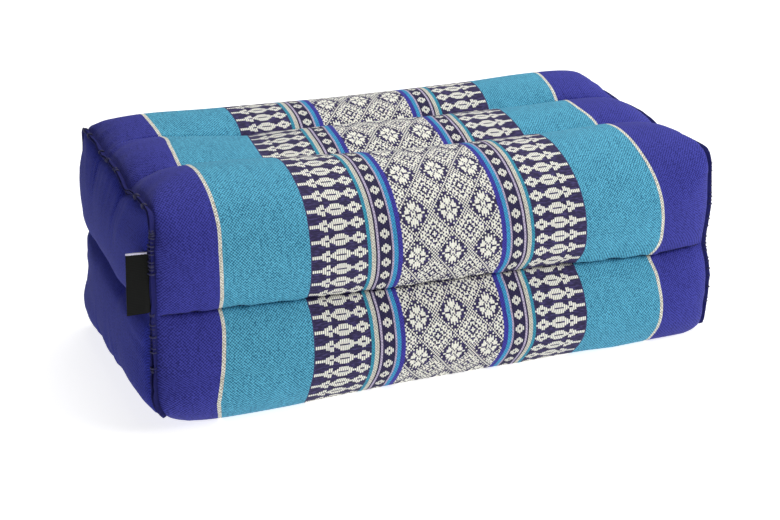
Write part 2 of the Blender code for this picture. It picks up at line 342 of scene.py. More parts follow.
class CushionSizes(bpy.types.PropertyGroup):
    """Sizes of the sewn and filled cushion."""

    length: length_of("Length", "From end seam to end seam", 0.350)
    width: length_of("Width", "Width of an end panel", SEAM_WIDTH)
    height: length_of(
        "Height", "Height of an end panel, mean of the two",
        (LEFT_HIGH - LEFT_LOW + RIGHT_HIGH - RIGHT_LOW) / 2,
    )
    lift: length_of("Lift", "Lower end seam above the floor", (LEFT_LOW + RIGHT_LOW) / 2)
    taller: length_of(
        "Taller", "How much taller the left end is than the mean",
        (LEFT_HIGH - LEFT_LOW - RIGHT_HIGH + RIGHT_LOW) / 2,
    )
    higher: length_of("Higher", "How much higher the left lower seam is", (LEFT_LOW - RIGHT_LOW) / 2)
    crown_side: length_of("Side crown", "How far a channel stands out in front", 0.0135)
    crown_top: length_of("Top crown", "How far a channel stands up", 0.017)
    end_dome: length_of("End dome", "How far an end panel bulges", 0.010)
    edge_width: length_of("Raw edge", "Width of the raw seam edge", 0.0027)
    label_height: length_of("Tab height", "Width of the tab's tape", TAB_WIDTH)
    label_low: length_of("Tab place", "Lower edge of the tab above the floor", TAB_TOP - TAB_WIDTH)
    label_reach: length_of("Tab reach", "How far the tab stands out of its seam", 0.0145)
    pressure: FloatProperty(
        name="Filling pressure", description="Push of the filling on the cloth", default=8.0, min=0
    )
    slack: FloatProperty(
        name="Slack", description="Share of spare cloth between the seams", default=0.0, min=0
    )


class CushionColours(bpy.types.PropertyGroup):
    """Colours of the yarns and of the tape."""

    royal: colour_of("Royal blue", "Outer stripes and end panels", "#1B1D66")
    royal_light: colour_of("Royal fleck", "Lighter yarn of the royal blue cloth", "#4345AB")
    # painted shade: the end panels are of the same royal blue cloth; these two colours are a darker copy
    # of its yarns, standing for the shade that falls on the ends
    panel: colour_of("End panel", "End panels, whose plain weave is a little duller", "#111768")
    shaded_panel_fleck: colour_of("Panel fleck", "Lighter yarn of the end panels", "#2C34A0")
    turquoise: colour_of("Turquoise", "Broad stripes", "#0E5676")
    turquoise_light: colour_of("Turquoise fleck", "Lighter yarn of that cloth", "#66C0DE")
    cream: colour_of("Cream", "Pattern yarn", "#F9F8EC")
    ground: colour_of("Ground", "Dark ground of the pattern", "#27223E")
    violet: colour_of("Violet", "Lighter slubs in the ground", "#4C4378")
    line: colour_of("Line", "Thin stripe between turquoise and royal", "#8F8673")
    thread: colour_of("Thread", "Sewing thread", "#0D0C24")
    tape: colour_of("Tape", "The folded tab", "#131412")


# ---- the section of the wrap ----


def seam_levels(size, station):
    """Heights of the lower, mid and upper seam at a station from -1 to 1."""
    low = size.lift - size.higher * station
    height = size.height - size.taller * station
    return low, low + height / 2, low + height


def channel_outlines(size, station):
    """Corner points of each channel's stretch of the seam rectangle, from the back seam down."""
    low, mid, high = seam_levels(size, station)
    side, quilt = size.width / 2, size.width / 6
    front = mid + np.interp(station, FRONT_STATIONS, FRONT_RISES)
    return (
        ((side, mid), (side, low), (quilt, low)),
        ((quilt, low), (-quilt, low)),
        ((-quilt, low), (-side, low), (-side, front)),
        ((-side, front), (-side, high), (-quilt, high)),
        ((-quilt, high), (quilt, high)),
        ((quilt, high), (side, high), (side, mid)),
    )


def straight_run(start, end, share):
    """Places and outward normals at shares of the way along a straight stretch."""
    start, end = np.array(start), np.array(end)
    along = (end - start) / np.linalg.norm(end - start)
    return start + (end - start) * share[:, None], np.tile((-along[1], along[0]), (len(share), 1))


def rounded_run(start, corner, end, radius, share):
    """Places and outward normals at shares of the way round a right-angled, rounded corner."""
    start, corner, end = (np.array(p) for p in (start, corner, end))
    first, second = np.linalg.norm(corner - start), np.linalg.norm(end - corner)
    ahead, after = (corner - start) / first, (end - corner) / second
    arc = np.pi / 2 * radius
    way = share * (first + second - 2 * radius + arc)
    turn = np.clip((way - first + radius) / radius, 0, np.pi / 2)
    normal = np.outer(np.cos(turn), -after) + np.outer(np.sin(turn), ahead)
    centre = corner + (after - ahead) * radius
    before = np.minimum(way - first + radius, 0)
    beyond = np.maximum(way - first + radius - arc, 0)
    return centre + normal * radius + np.outer(before, ahead) + np.outer(beyond, after), normal


def spaced(count):
    """Shares from 0 up to 1, closer together near both sewn lines."""
    even = np.arange(count) / count
    return even - 0.5 * np.sin(2 * np.pi * even) / (2 * np.pi)


def wrap_section(size, station):
    """Points (y, z) round the wrap at a station, from the back seam down and round."""
    swell = (1 - abs(station) ** END_BOX) ** SWELL_POWER
    front, back = (np.interp(station, LINE_STATIONS, row) for row in (FRONT_LINE, BACK_LINE))
    raised_lines = ((0, 0), (0, 0), (0, 0), (0, front), (front, back), (back, 0))
    rings = []
    for number, outline in enumerate(channel_outlines(size, station)):
        corner_channel = len(outline) == 3
        share = spaced(4 * STEPS if corner_channel else 2 * STEPS)
        if corner_channel:
            full = CORNER_LOWER if number < 3 else CORNER_UPPER
            radius = CORNER_END + (full - CORNER_END) * swell
            places, normal = rounded_run(*outline, radius, share)
            box, span = CORNER_BOX, size.width / 3 + size.height / 2
        else:
            places, normal = straight_run(*outline, share)
            box, span = MIDDLE_BOX, size.width / 3
        upright = abs(normal[:, 1])
        if number == TOP_MIDDLE:
            power, kept = MIDDLE_POWER, np.interp(station, LINE_STATIONS, MIDDLE_CROWN)
        else:
            ever, sag, lean = CROWN_LOSSES[number]
            power, kept = CROWN_POWER, 1 - (ever + sag * (1 - station**2) + lean * station) * upright
        crown = (size.crown_side + (size.crown_top - size.crown_side) * upright) * swell * kept
        first, last = raised_lines[number]
        at_lines = (first * (1 - share) + last * share) * size.crown_top * swell
        rise = at_lines + (crown - at_lines) * (1 - abs(2 * share - 1) ** box) ** power
        lines = (SEWN_LINES[number], SEWN_LINES[(number + 1) % len(SEWN_LINES)])
        for (at_end, at_middle), away in zip(lines, (share * span, (1 - share) * span)):
            drawn_in = at_end * (1 - swell) + at_middle * swell
            rise = rise - drawn_in * np.exp(-((away / TUCK_REACH) ** TUCK_FALL))
        rings.append(places + normal * rise[:, None])
    ring = np.concatenate(rings)
    ring[:, 1] = np.maximum(ring[:, 1], 0)
    return ring


def station_list():
    """Stations of the fine rings from -1 to 1, closer together near the end seams."""
    even = np.linspace(-1, 1, RINGS)
    return (1 - CROWDING) * even + CROWDING * np.sin(even * np.pi / 2)


# ---- the ends ----


def end_grid(ring):
    """The end's grid [column, row] of (y, z) inside the seam loop, blended from its four sides."""
    under = ring[LOWER_BACK : LOWER_FRONT + 1][::-1]
    front = ring[LOWER_FRONT : UPPER_FRONT + 1]
    top = ring[UPPER_FRONT : UPPER_BACK + 1]
    back = np.concatenate([ring[UPPER_BACK:], ring[: LOWER_BACK + 1]])[::-1]
    across = np.linspace(0, 1, COLUMNS + 1)[:, None, None]
    up = np.linspace(0, 1, ROWS + 1)[None, :, None]
    corners = (under[0] * (1 - across) + under[-1] * across) * (1 - up)
    corners = corners + (top[0] * (1 - across) + top[-1] * across) * up
    ruled_up = under[:, None] * (1 - up) + top[:, None] * up
    return ruled_up + front[None] * (1 - across) + back[None] * across - corners


def end_border(columns=COLUMNS, rows=ROWS):
    """Grid places round an end's border, in the order of the ring from the back seam down."""
    middle = rows // 2
    down = [(columns, j) for j in range(middle, 0, -1)]
    under = [(i, 0) for i in range(columns, 0, -1)]
    front = [(0, j) for j in range(rows)]
    top = [(i, rows) for i in range(columns)]
    return down + under + front + top + [(columns, j) for j in range(rows, middle, -1)]


def dome_height(size):
    """How far the end stands out over the grid: six soft cushions with creases between."""
    across = np.linspace(-1, 1, COLUMNS + 1)[:, None]
    up = np.linspace(-1, 1, ROWS + 1)[None]
    rim = (1 - abs(across) ** DOME_BOX) * (1 - abs(up) ** DOME_BOX)
    crease = ROW_VALLEY * np.exp(-((up / VALLEY_WIDTH) ** 2))
    for column in (-1 / 3, 1 / 3):
        crease = crease + COLUMN_VALLEY * np.exp(-(((across - column) / VALLEY_WIDTH) ** 2))
    return rim**DOME_POWER * (size.end_dome - crease)


# ---- filling it ----


def numbered_faces(rings, ring, columns, rows):
    """Faces of the closed form: the wrap's rings, then the inside of each end's grid."""
    faces = []
    for low in range(0, (rings - 1) * ring, ring):
        for i in range(ring):
            j = (i + 1) % ring
            faces.append((low + i, low + ring + i, low + ring + j, low + j))
    for end, first in ((0, 0), (1, (rings - 1) * ring)):
        number = {spot: first + place for place, spot in enumerate(end_border(columns, rows))}
        start = rings * ring + end * (columns - 1) * (rows - 1)
        for i in range(1, columns):
            for j in range(1, rows):
                number[i, j] = start + (i - 1) * (rows - 1) + j - 1
        for i in range(columns):
            for j in range(rows):
                face = (number[i, j], number[i + 1, j], number[i + 1, j + 1], number[i, j + 1])
                faces.append(face if end else face[::-1])
    return faces


def plain_mesh(name, points, faces):
    """A mesh from points and faces."""
    mesh = bpy.data.meshes.new(name)
    mesh.from_pydata([tuple(p) for p in points], [], faces)
    mesh.update()
    return mesh


def put_in_scene(name, data):
    """A new object in the scene, in place of any of the same name."""
    old = bpy.data.objects.get(name)
    if old is not None:
        bpy.data.objects.remove(old, do_unlink=True)
    thing = bpy.data.objects.new(name, data)
    bpy.context.scene.collection.objects.link(thing)
    return thing


def points_of(thing):
    points = np.zeros(len(thing.data.vertices) * 3)
    thing.data.vertices.foreach_get("co", points)
    return points.reshape(-1, 3)


def end_reach(side, y, z, size):
    """How much further out than its level an end is sewn at a place."""
    back = np.clip(0.5 + y / size.width, 0, 1)
    at_front, at_back = (LEFT_FRONT, LEFT_BACK) if side < 0 else (RIGHT_FRONT, RIGHT_BACK)
    at_front, at_back = (np.interp(z, END_HEIGHTS, reach) for reach in (at_front, at_back))
    return at_front * (1 - back) + at_back * back


def sewn_shape(size):
    """Fine points of the wrap [ring, place] and of each end [column, row]."""
    half = size.length / 2 - SHEET - GAP
    wrap = np.zeros((RINGS, RING, 3))
    for k, station in enumerate(station_list()):
        wrap[k, :, 1:] = wrap_section(size, station)
        side = 1 if station > 0 else -1
        further = end_reach(side, wrap[k, :, 1], wrap[k, :, 2], size)
        wrap[k, :, 0] = station * half + side * further * abs(station) ** END_REACH_FADE
    ends = []
    for side, ring in ((-1, wrap[0]), (1, wrap[-1])):
        grid = end_grid(ring[:, 1:])
        height = dome_height(size) * (1.0 if side < 0 else RIGHT_DOME)
        out = half + end_reach(side, grid[..., 0], grid[..., 1], size) + height
        ends.append(np.dstack((side * out, grid[..., 0], grid[..., 1])))
    return wrap, ends


def packed_points(wrap, ends):
    """The closed form's points in one list: the wrap's rings, then the inside of each end."""
    inner = [end[1:-1, 1:-1].reshape(-1, 3) for end in ends]
    return np.concatenate([wrap.reshape(-1, 3), *inner])


def unpacked(points, rings, ring, columns, rows):
    """Such a list as the wrap [ring, place] and the ends [column, row], their borders left at 0."""
    ends = np.zeros((2, columns + 1, rows + 1, 3))
    ends[:, 1:-1, 1:-1] = points[rings * ring :].reshape(2, columns - 1, rows - 1, 3)
    return points[: rings * ring].reshape(rings, ring, 3), ends


def puffed(size, wrap, ends):
    """How the filling moves the coarse cloth, as displacements of the wrap and of both ends."""
    coarse, coarse_ends = wrap[::2, ::2], [end[::2, ::2] for end in ends]
    rings, ring = coarse.shape[:2]
    columns, rows = COLUMNS // 2, ROWS // 2
    points = packed_points(coarse, coarse_ends)
    faces = numbered_faces(rings, ring, columns, rows)
    thing = put_in_scene("filling_cloth", plain_mesh("filling_cloth", points, faces))

    number = np.arange(rings * ring).reshape(rings, ring)
    sewn = [number[0], number[-1], *(number[:, place // 2] for place in SEWN_PLACES)]
    inner = np.arange(number.size, len(points)).reshape(2, columns - 1, rows - 1)
    held = thing.vertex_groups.new(name="held")
    held.add(np.concatenate(sewn).tolist(), 1.0, "REPLACE")
    held.add(inner[..., rows // 2 - 1].ravel().tolist(), CREASE_HELD, "REPLACE")

    cloth = thing.modifiers.new("cotton", "CLOTH")
    for name, value in CLOTH_SETTINGS.items():
        setattr(cloth.settings, name, value)
    cloth.settings.uniform_pressure_force = size.pressure
    cloth.settings.shrink_min = -size.slack
    cloth.settings.effector_weights.gravity = 0
    cloth.point_cache.frame_start, cloth.point_cache.frame_end = 1, FILLING_FRAMES
    for step in range(1, FILLING_FRAMES + 1):
        bpy.context.scene.frame_set(step)
    moved = points_of(thing.evaluated_get(bpy.context.evaluated_depsgraph_get())) - points
    bpy.context.scene.frame_set(1)
    bpy.data.objects.remove(thing, do_unlink=True)
    return unpacked(moved, rings, ring, columns, rows)


def finer(values, axis, round_and_round):
    """Twice as many values along an axis, on smooth curves through those given."""
    values = np.moveaxis(values, axis, 0)
    if round_and_round:
        before, after = np.roll(values, 1, 0), np.roll(values, -1, 0)
        between = (9 * (values + after) - before - np.roll(values, -2, 0)) / 16
        out = np.stack((values, between), 1).reshape(-1, *values.shape[1:])
    else:
        padded = np.concatenate([values[:1], values, values[-1:]])
        between = (9 * (padded[1:-2] + padded[2:-1]) - padded[:-3] - padded[3:]) / 16
        out = np.zeros((2 * len(values) - 1, *values.shape[1:]))
        out[::2], out[1::2] = values, between
    return np.moveaxis(out, 0, axis)


def limited(moves, most):
    """The moves, none of them longer than the most allowed."""
    far = np.linalg.norm(moves, axis=-1, keepdims=True)
    return moves * most / np.maximum(far, most)


def unsteady(seed, places, spacing, loop=None):
    """Smooth random values from -1 to 1 along a line, a new one every spacing."""
    count = max(3, round(loop / spacing)) if loop else KNOTS
    knots = np.random.default_rng(seed).uniform(-1, 1, count)
    way = places / loop * count if loop else places / spacing + KNOTS / 2
    first = np.floor(way).astype(int)
    ease = way - first
    ease = ease * ease * (3 - 2 * ease)
    return knots[first % count] * (1 - ease) + knots[(first + 1) % count] * ease


def gathered(seeds, places, spacings, fine, loop=None):
    """Broad gathers along a line with finer ones among them."""
    broad, narrow = (unsteady(seed, places, gap, loop) for seed, gap in zip(seeds, spacings))
    return broad + fine * narrow


def lumps(points, longest, shortest, seed, waves):
    """A gentle unevenness of the filling at each point, from -1 to 1."""
    rng = np.random.default_rng(seed)
    total = np.zeros(points.shape[:-1])
    for _ in range(waves):
        way = rng.normal(size=3)
        way /= np.linalg.norm(way)
        pitch = rng.uniform(shortest, longest)
        total += np.sin(points @ way * 2 * np.pi / pitch + rng.uniform(0, 2 * np.pi))
    return total / waves


def outward(along, across):
    """Unit vectors square to both directions."""
    normal = np.cross(along, across)
    return normal / np.maximum(np.linalg.norm(normal, axis=-1, keepdims=True), 1e-12)


def wrap_normals(wrap):
    """Which way is out of the cloth at each of its points."""
    along = np.gradient(wrap, axis=0)
    round_it = np.roll(wrap, -1, axis=1) - np.roll(wrap, 1, axis=1)
    return outward(along, round_it)


def way_round(size):
    """How far round the cloth each fine place is from the front seam, and the whole girth."""
    ring = wrap_section(size, 0.0)
    step = np.linalg.norm(np.roll(ring, -1, axis=0) - ring, axis=1)
    way = np.concatenate([[0], np.cumsum(step)])
    return way - way[FRONT_SEAM], way[-1]


def from_sewn_line(size):
    """Distance of each fine place round the cloth from the nearest sewn line, and which it is."""
    way, girth = way_round(size)
    gaps = np.array([abs(way[:-1] - way[place]) for place in SEWN_PLACES])
    gaps = np.minimum(gaps, girth - gaps)
    return gaps.min(0), gaps.argmin(0)


def beside_seam(away, reach):
    """Grows quickly from 0 at an end seam, and fades over the reach."""
    return np.exp(-away / reach) * (1 - np.exp(-away / SEAM_TIGHT))


def puckered_wrap(size, wrap):
    """The wrap with the sewn lines' puckers, the ends' gathers and the filling's unevenness."""
    way, girth = way_round(size)
    away, line = from_sewn_line(size)
    x = wrap[:, :1, 0] * np.ones(RING)
    rise = LUMP * lumps(wrap, *LUMP_PITCHES, seed=5, waves=14)
    for number in range(len(SEWN_LINES)):
        mine = np.where(line == number, np.exp(-((away / PUCKER_REACH) ** PUCKER_FALL)), 0)
        pucker = gathered((20 + number, 40 + number), x, PUCKER_PITCHES, PUCKER_FINE)
        rise = rise + PUCKER * mine * pucker
    for end, side in enumerate((-1, 1)):
        near = beside_seam(size.length / 2 - abs(x), GATHER_REACH) * (side * x > 0)
        gather = gathered((60 + end, 70 + end), way[:-1], GATHER_PITCHES, GATHER_FINE, girth)
        rise = rise + GATHERS[end] * near * gather
    rise = rise - CREASE * (away < 1e-9) * (1 - abs(x / (size.length / 2)) ** CREASE_ENDS)
    wrap = wrap + wrap_normals(wrap) * rise[..., None]
    wrap[..., 2] = np.maximum(wrap[..., 2], 0)
    return wrap


def puckered_end(size, number, end):
    """An end with the gathers round its seam, its unevenness and the crease between its rows."""
    across = np.linspace(-1, 1, COLUMNS + 1)[:, None] * np.ones(ROWS + 1)
    up = np.linspace(-1, 1, ROWS + 1) * np.ones((COLUMNS + 1, 1))
    from_edge = np.minimum((1 - abs(across)) * size.width / 2, (1 - abs(up)) * size.height / 2)
    angle = np.arctan2(up * size.height, across * size.width) / (2 * np.pi) * END_ROUND
    gather = gathered((80 + number, 90 + number), angle, END_GATHER_PITCHES, 1.0, END_ROUND)
    rise = END_GATHER * beside_seam(from_edge, END_GATHER_REACH) * gather
    inside = 1 - np.exp(-from_edge / END_LUMP_FADE)
    rise = rise + END_LUMP * lumps(end, *END_LUMP_PITCHES, seed=8, waves=12) * inside
    crease = np.exp(-abs(up) * size.height / 2 / END_CREASE_WIDTH)
    rise = rise - END_CREASE * crease * (1 - np.exp(-from_edge / END_CREASE_FADE))
    end = end.copy()
    end[..., 0] += rise if number else -rise
    return end


def filled_shape(size):
    """The fine cloth over its filling: held at its seams, blown out by the filling, puckered."""
    wrap, ends = sewn_shape(size)
    wrap_move, end_moves = puffed(size, wrap, ends)
    wrap = wrap + finer(finer(limited(wrap_move, MOST_MOVED), 0, False), 1, True)
    ends = [
        end + finer(finer(limited(move, MOST_MOVED), 0, False), 1, False)
        for end, move in zip(ends, end_moves)
    ]
    return puckered_wrap(size, wrap), [puckered_end(size, *each) for each in enumerate(ends)]


# ---- meshes ----


def add_map(mesh, name, corners):
    layer = mesh.uv_layers.new(name=name, do_init=False)
    layer.data.foreach_set("uv", np.asarray(corners, np.float32).ravel())


def finish_mesh(thing, material, sharp=50):
    """In one material, and smooth but for edges sharper than so many degrees."""
    thing.data.materials.clear()
    thing.data.materials.append(material)
    thing.data.shade_smooth()
    thing.data.set_sharp_from_angle(angle=math.radians(sharp))
    return thing


def declare(thing, slot, *nodes):
    """Hides the solids that a piece replaces and makes it ride on the one body; the slot is not used."""
    if nodes:
        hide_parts(*nodes)
    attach(thing, "root")


def face_corners(first, second):
    """The four corners of every cell of a grid, in the order in which its faces are numbered."""
    grid = np.dstack((first, second))
    return np.stack((grid[:-1, :-1], grid[1:, :-1], grid[1:, 1:], grid[:-1, 1:]), 2)


def wrap_maps(size):
    """Corners of every wrap face in the cloth's own millimetres, and in the flat layout."""
    way, _ = way_round(size)
    x = station_list()[:, None] * (size.length / 2 - SHEET - GAP) / MM
    out = x / LINE_EDGE
    places = np.array(SKEW)
    blur = np.ones(SKEW_SMOOTHED) / SKEW_SMOOTHED
    skews = []
    for values in places[:, 1:].T:
        skew = np.pad(np.interp(way / MM, places[:, 0], values), SKEW_SMOOTHED // 2, mode="edge")
        skews.append(np.convolve(skew, blur, "valid"))
    middle, lean, both = skews
    up = way / MM - ROWS_HIGHER - ROWS_LEAN * x
    weave = face_corners(x - middle - lean * out - both * out * out, up)
    # every sewn line takes cloth up, so each channel's cloth begins that much further on
    channel = np.searchsorted(SEWN_PLACES, np.arange(RING), side="right") - 1
    taken = SEAM_TAKES * (2 * channel - 5) - LAST_SPARED * (channel == 5)
    weave[..., 1] += taken[:, None]
    flat = face_corners(
        np.linspace(0, FLAT_WRAP, RINGS)[:, None] * np.ones(RING + 1),
        np.linspace(0, 1, RING + 1) * np.ones((RINGS, 1)),
    )
    i, j = np.meshgrid(np.arange(COLUMNS + 1), np.arange(ROWS + 1), indexing="ij")
    cells = face_corners(i, j) / (COLUMNS, ROWS)
    maps = []
    for corners, stretch, starts in (
        (weave, (0, size.width / MM), ((-ENDS_ACROSS, ENDS_UP), (ENDS_ACROSS, ENDS_UP))),
        (flat, FLAT_END, FLAT_STARTS),
    ):
        parts = [corners] + [
            end * stretch + start for end, start in zip((cells[:, :, ::-1], cells), starts)
        ]
        maps.append(np.concatenate([part.reshape(-1, 2) for part in parts]))
    return maps


def make_wrap(size, material):
    """The filled wrap with its two maps: the cloth's millimetres, and a flat layout."""
    wrap, ends = filled_shape(size)
    faces = numbered_faces(RINGS, RING, COLUMNS, ROWS)
    thing = put_in_scene("wrap", plain_mesh("wrap", packed_points(wrap, ends), faces))
    weave, flat = wrap_maps(size)
    add_map(thing.data, "weave", weave)
    add_map(thing.data, "OFBake", flat)
    return finish_mesh(thing, material)


def sewn_wrap():
    """The wrap piece's points again: its rings, and each end's grid with its border."""
    thing = bpy.data.objects.get("wrap")
    if thing is None:
        raise RuntimeError("sew the wrap first")
    wrap, ends = unpacked(points_of(thing), RINGS, RING, COLUMNS, ROWS)
    for grid, ring in zip(ends, (wrap[0], wrap[-1])):
        for spot, place in zip(end_border(), ring):
            grid[spot] = place
    return wrap, ends


def make_end_panel(name, side, grid, material):
    """A sheet over the filled end, from just inside the seam line."""
    grid = grid.copy()
    grid[..., 0] += side * (SHEET + GAP)
    border = end_border()
    for i, j in border:
        inner = grid[min(max(i, 1), COLUMNS - 1), min(max(j, 1), ROWS - 1)]
        way = inner - grid[i, j]
        grid[i, j] += way * PANEL_INSET / np.linalg.norm(way)
    under = grid.copy()
    under[..., 0] -= side * SHEET
    points = np.concatenate([grid.reshape(-1, 3), under.reshape(-1, 3)])
    number = np.arange(len(points)).reshape(2, COLUMNS + 1, ROWS + 1)
    faces = []
    for layer, n in enumerate(number):
        quads = np.stack((n[:-1, :-1], n[1:, :-1], n[1:, 1:], n[:-1, 1:]), -1).reshape(-1, 4)
        outer = (layer == 0) == (side > 0)
        faces += (quads if outer else quads[:, ::-1]).tolist()
    for here, there in zip(border, border[1:] + border[:1]):
        spots = ((0, *here), (1, *here), (1, *there), (0, *there))
        rim = [int(number[spot]) for spot in spots]
        faces.append(rim if side > 0 else rim[::-1])
    thing = put_in_scene(name, plain_mesh(name, points, faces))
    corners = np.zeros(len(thing.data.loops), int)
    thing.data.loops.foreach_get("vertex_index", corners)
    add_map(thing.data, "weave", points[corners][:, 1:] / MM)
    return finish_mesh(thing, material, sharp=60)


def end_frame(side):
    """Points of the end seam line with the ways out of the wrap and out of the end."""
    wrap, _ = sewn_wrap()
    ring = wrap[0] if side < 0 else wrap[-1]
    along = np.roll(ring, -1, axis=0) - np.roll(ring, 1, axis=0)
    along[:, 0] = 0
    along /= np.linalg.norm(along, axis=1)[:, None]
    out = np.column_stack((np.zeros(len(ring)), -along[:, 2], along[:, 1]))
    seam = ring.copy()
    seam[:, 0] = side * (abs(ring[:, 0]) + SHEET + GAP)
    beyond = np.tile((float(side), 0.0, 0.0), (len(ring), 1))
    return seam, out, beyond


def pinched_places(way, girth):
    """Where a stitch pinches the left raw edge, and how near each place round it is, 0 to 1."""
    rng = np.random.default_rng(129)
    count = round(girth / PINCH_PITCH)
    spots = (np.arange(count) + rng.uniform(-PINCH_STRAY, PINCH_STRAY, count)) * girth / count - girth / 2
    gaps = abs(way[:, None] - spots)
    gaps = np.minimum(gaps, girth - gaps)
    return gaps.argmin(0), np.exp(-((gaps.min(1) / PINCH_REACH) ** 2))


def edge_profile(side, size):
    """Ways round a raw edge, its girth, and its width and gape at each place."""
    way, girth = way_round(size)
    way = way[:-1]
    seed = 100 if side < 0 else 120
    gape = EDGE_GAPE + EDGE_GAPE_MORE * unsteady(seed, way, EDGE_GAPE_PITCH, girth)
    width = size.edge_width * (1.0 if side < 0 else RIGHT_EDGE)
    for number, (share, pitch) in enumerate(EDGE_WAVES, 1):
        width = width * (1 + share * unsteady(seed + number, way, pitch, girth))
    if side < 0:
        gape = gape + OPEN_GAPE * np.exp(-(((way - OPEN_PLACE) / OPEN_REACH) ** 2))
        width = width * (1 - PINCH_DEPTH * pinched_places(way, girth)[1])
    pressed = 1.0
    for inward in (way[LOWER_FRONT] - way, way - way[LOWER_BACK]):
        pressed = pressed * np.clip((inward + PRESSED_BEYOND) / PRESSED_BLEND, 0, 1)
    return way, girth, width * (1 - PRESSED_NARROWER * pressed), gape * (1 - PRESSED_CLOSER * pressed)


def make_seam_edge(name, side, size, material):
    """Two raw edges of cloth standing out all round an end seam, wavy, gaping in places."""
    seam, out, beyond = end_frame(side)
    way, girth, width, gape = edge_profile(side, size)
    lean = EDGE_LEAN * unsteady(103 if side < 0 else 123, way, EDGE_LEAN_PITCH, girth)
    stand, aside = (out + beyond) * math.sqrt(0.5), (out - beyond) * math.sqrt(0.5)
    half = aside * EDGE_CLOTH
    count = len(seam)
    points, faces = [], []
    for layer, turn in enumerate((1, -1)):
        root = seam - stand * EDGE_ROOT + aside * turn * EDGE_APART
        middle = seam + stand * (width * EDGE_HALFWAY)[:, None]
        middle = middle + aside * (turn * (EDGE_BEND_APART + gape * BEND_GAPE) + lean * BEND_LEAN)[:, None]
        tip = seam + stand * (width * (1 - INNER_SHORTER * layer))[:, None]
        tip = tip + aside * (turn * (EDGE_CLOTH + gape) + lean)[:, None]
        shoulder = tip - stand * EDGE_SHOULDER
        profile = (
            root - half, middle - half, shoulder - half * TIP_THINNER,
            tip, shoulder + half * TIP_THINNER, middle + half, root + half,
        )
        start = len(points) // count
        points += [p for line in profile for p in line]
        for k in range(len(profile)):
            this, after = (start + k) * count, (start + (k + 1) % len(profile)) * count
            for i in range(count):
                j = (i + 1) % count
                face = (this + i, this + j, after + j, after + i)
                faces.append(face[::-1] if side > 0 else face)
    thing = put_in_scene(name, plain_mesh(name, points, faces))
    return finish_mesh(thing, material, sharp=70)


# ---- nodes ----


def add(tree, kind, *values, inputs=None, out=0, **settings):
    """Adds a node, sets it and its inputs, links those given as sockets, and gives an output."""
    node = tree.nodes.new(kind if "Node" in kind else "ShaderNode" + kind)
    for name, value in settings.items():
        setattr(node, name, value)
    for key, value in [*enumerate(values), *(inputs or {}).items()]:
        if isinstance(value, bpy.types.NodeSocket):
            tree.links.new(value, node.inputs[key])
        elif value is not None:
            node.inputs[key].default_value = value
    return node.outputs[out] if node.outputs else node


def worked(tree, kind, value, *steps):
    """Puts a value through nodes of one kind, each with its operation and its other values."""
    for operation, *others in steps:
        value = add(tree, kind, value, *others, operation=operation)
    return value


def fill_ramp(ramp, stops):
    """Steps from one colour to the next, with nothing between."""
    ramp.interpolation = "CONSTANT"
    while len(ramp.elements) > 1:
        ramp.elements.remove(ramp.elements[-1])
    ramp.elements[0].position, ramp.elements[0].color = stops[0]
    for position, colour in stops[1:]:
        ramp.elements.new(position).color = colour


# ---- threads ----


def stitched_lines(name, lines):
    """Loose edges that stitches will follow, each point with its way out of the cloth."""
    mesh = bpy.data.meshes.new(name)
    points, edges, ways = [], [], []
    for line, out in lines:
        start = len(points)
        points += line.tolist()
        ways += out.tolist()
        edges += [(start + i, start + i + 1) for i in range(len(line) - 1)]
    mesh.from_pydata(points, edges, [])
    held = mesh.attributes.new("out", "FLOAT_VECTOR", "POINT")
    held.data.foreach_set("vector", np.ravel(ways).astype(np.float32))
    return put_in_scene(name, mesh)


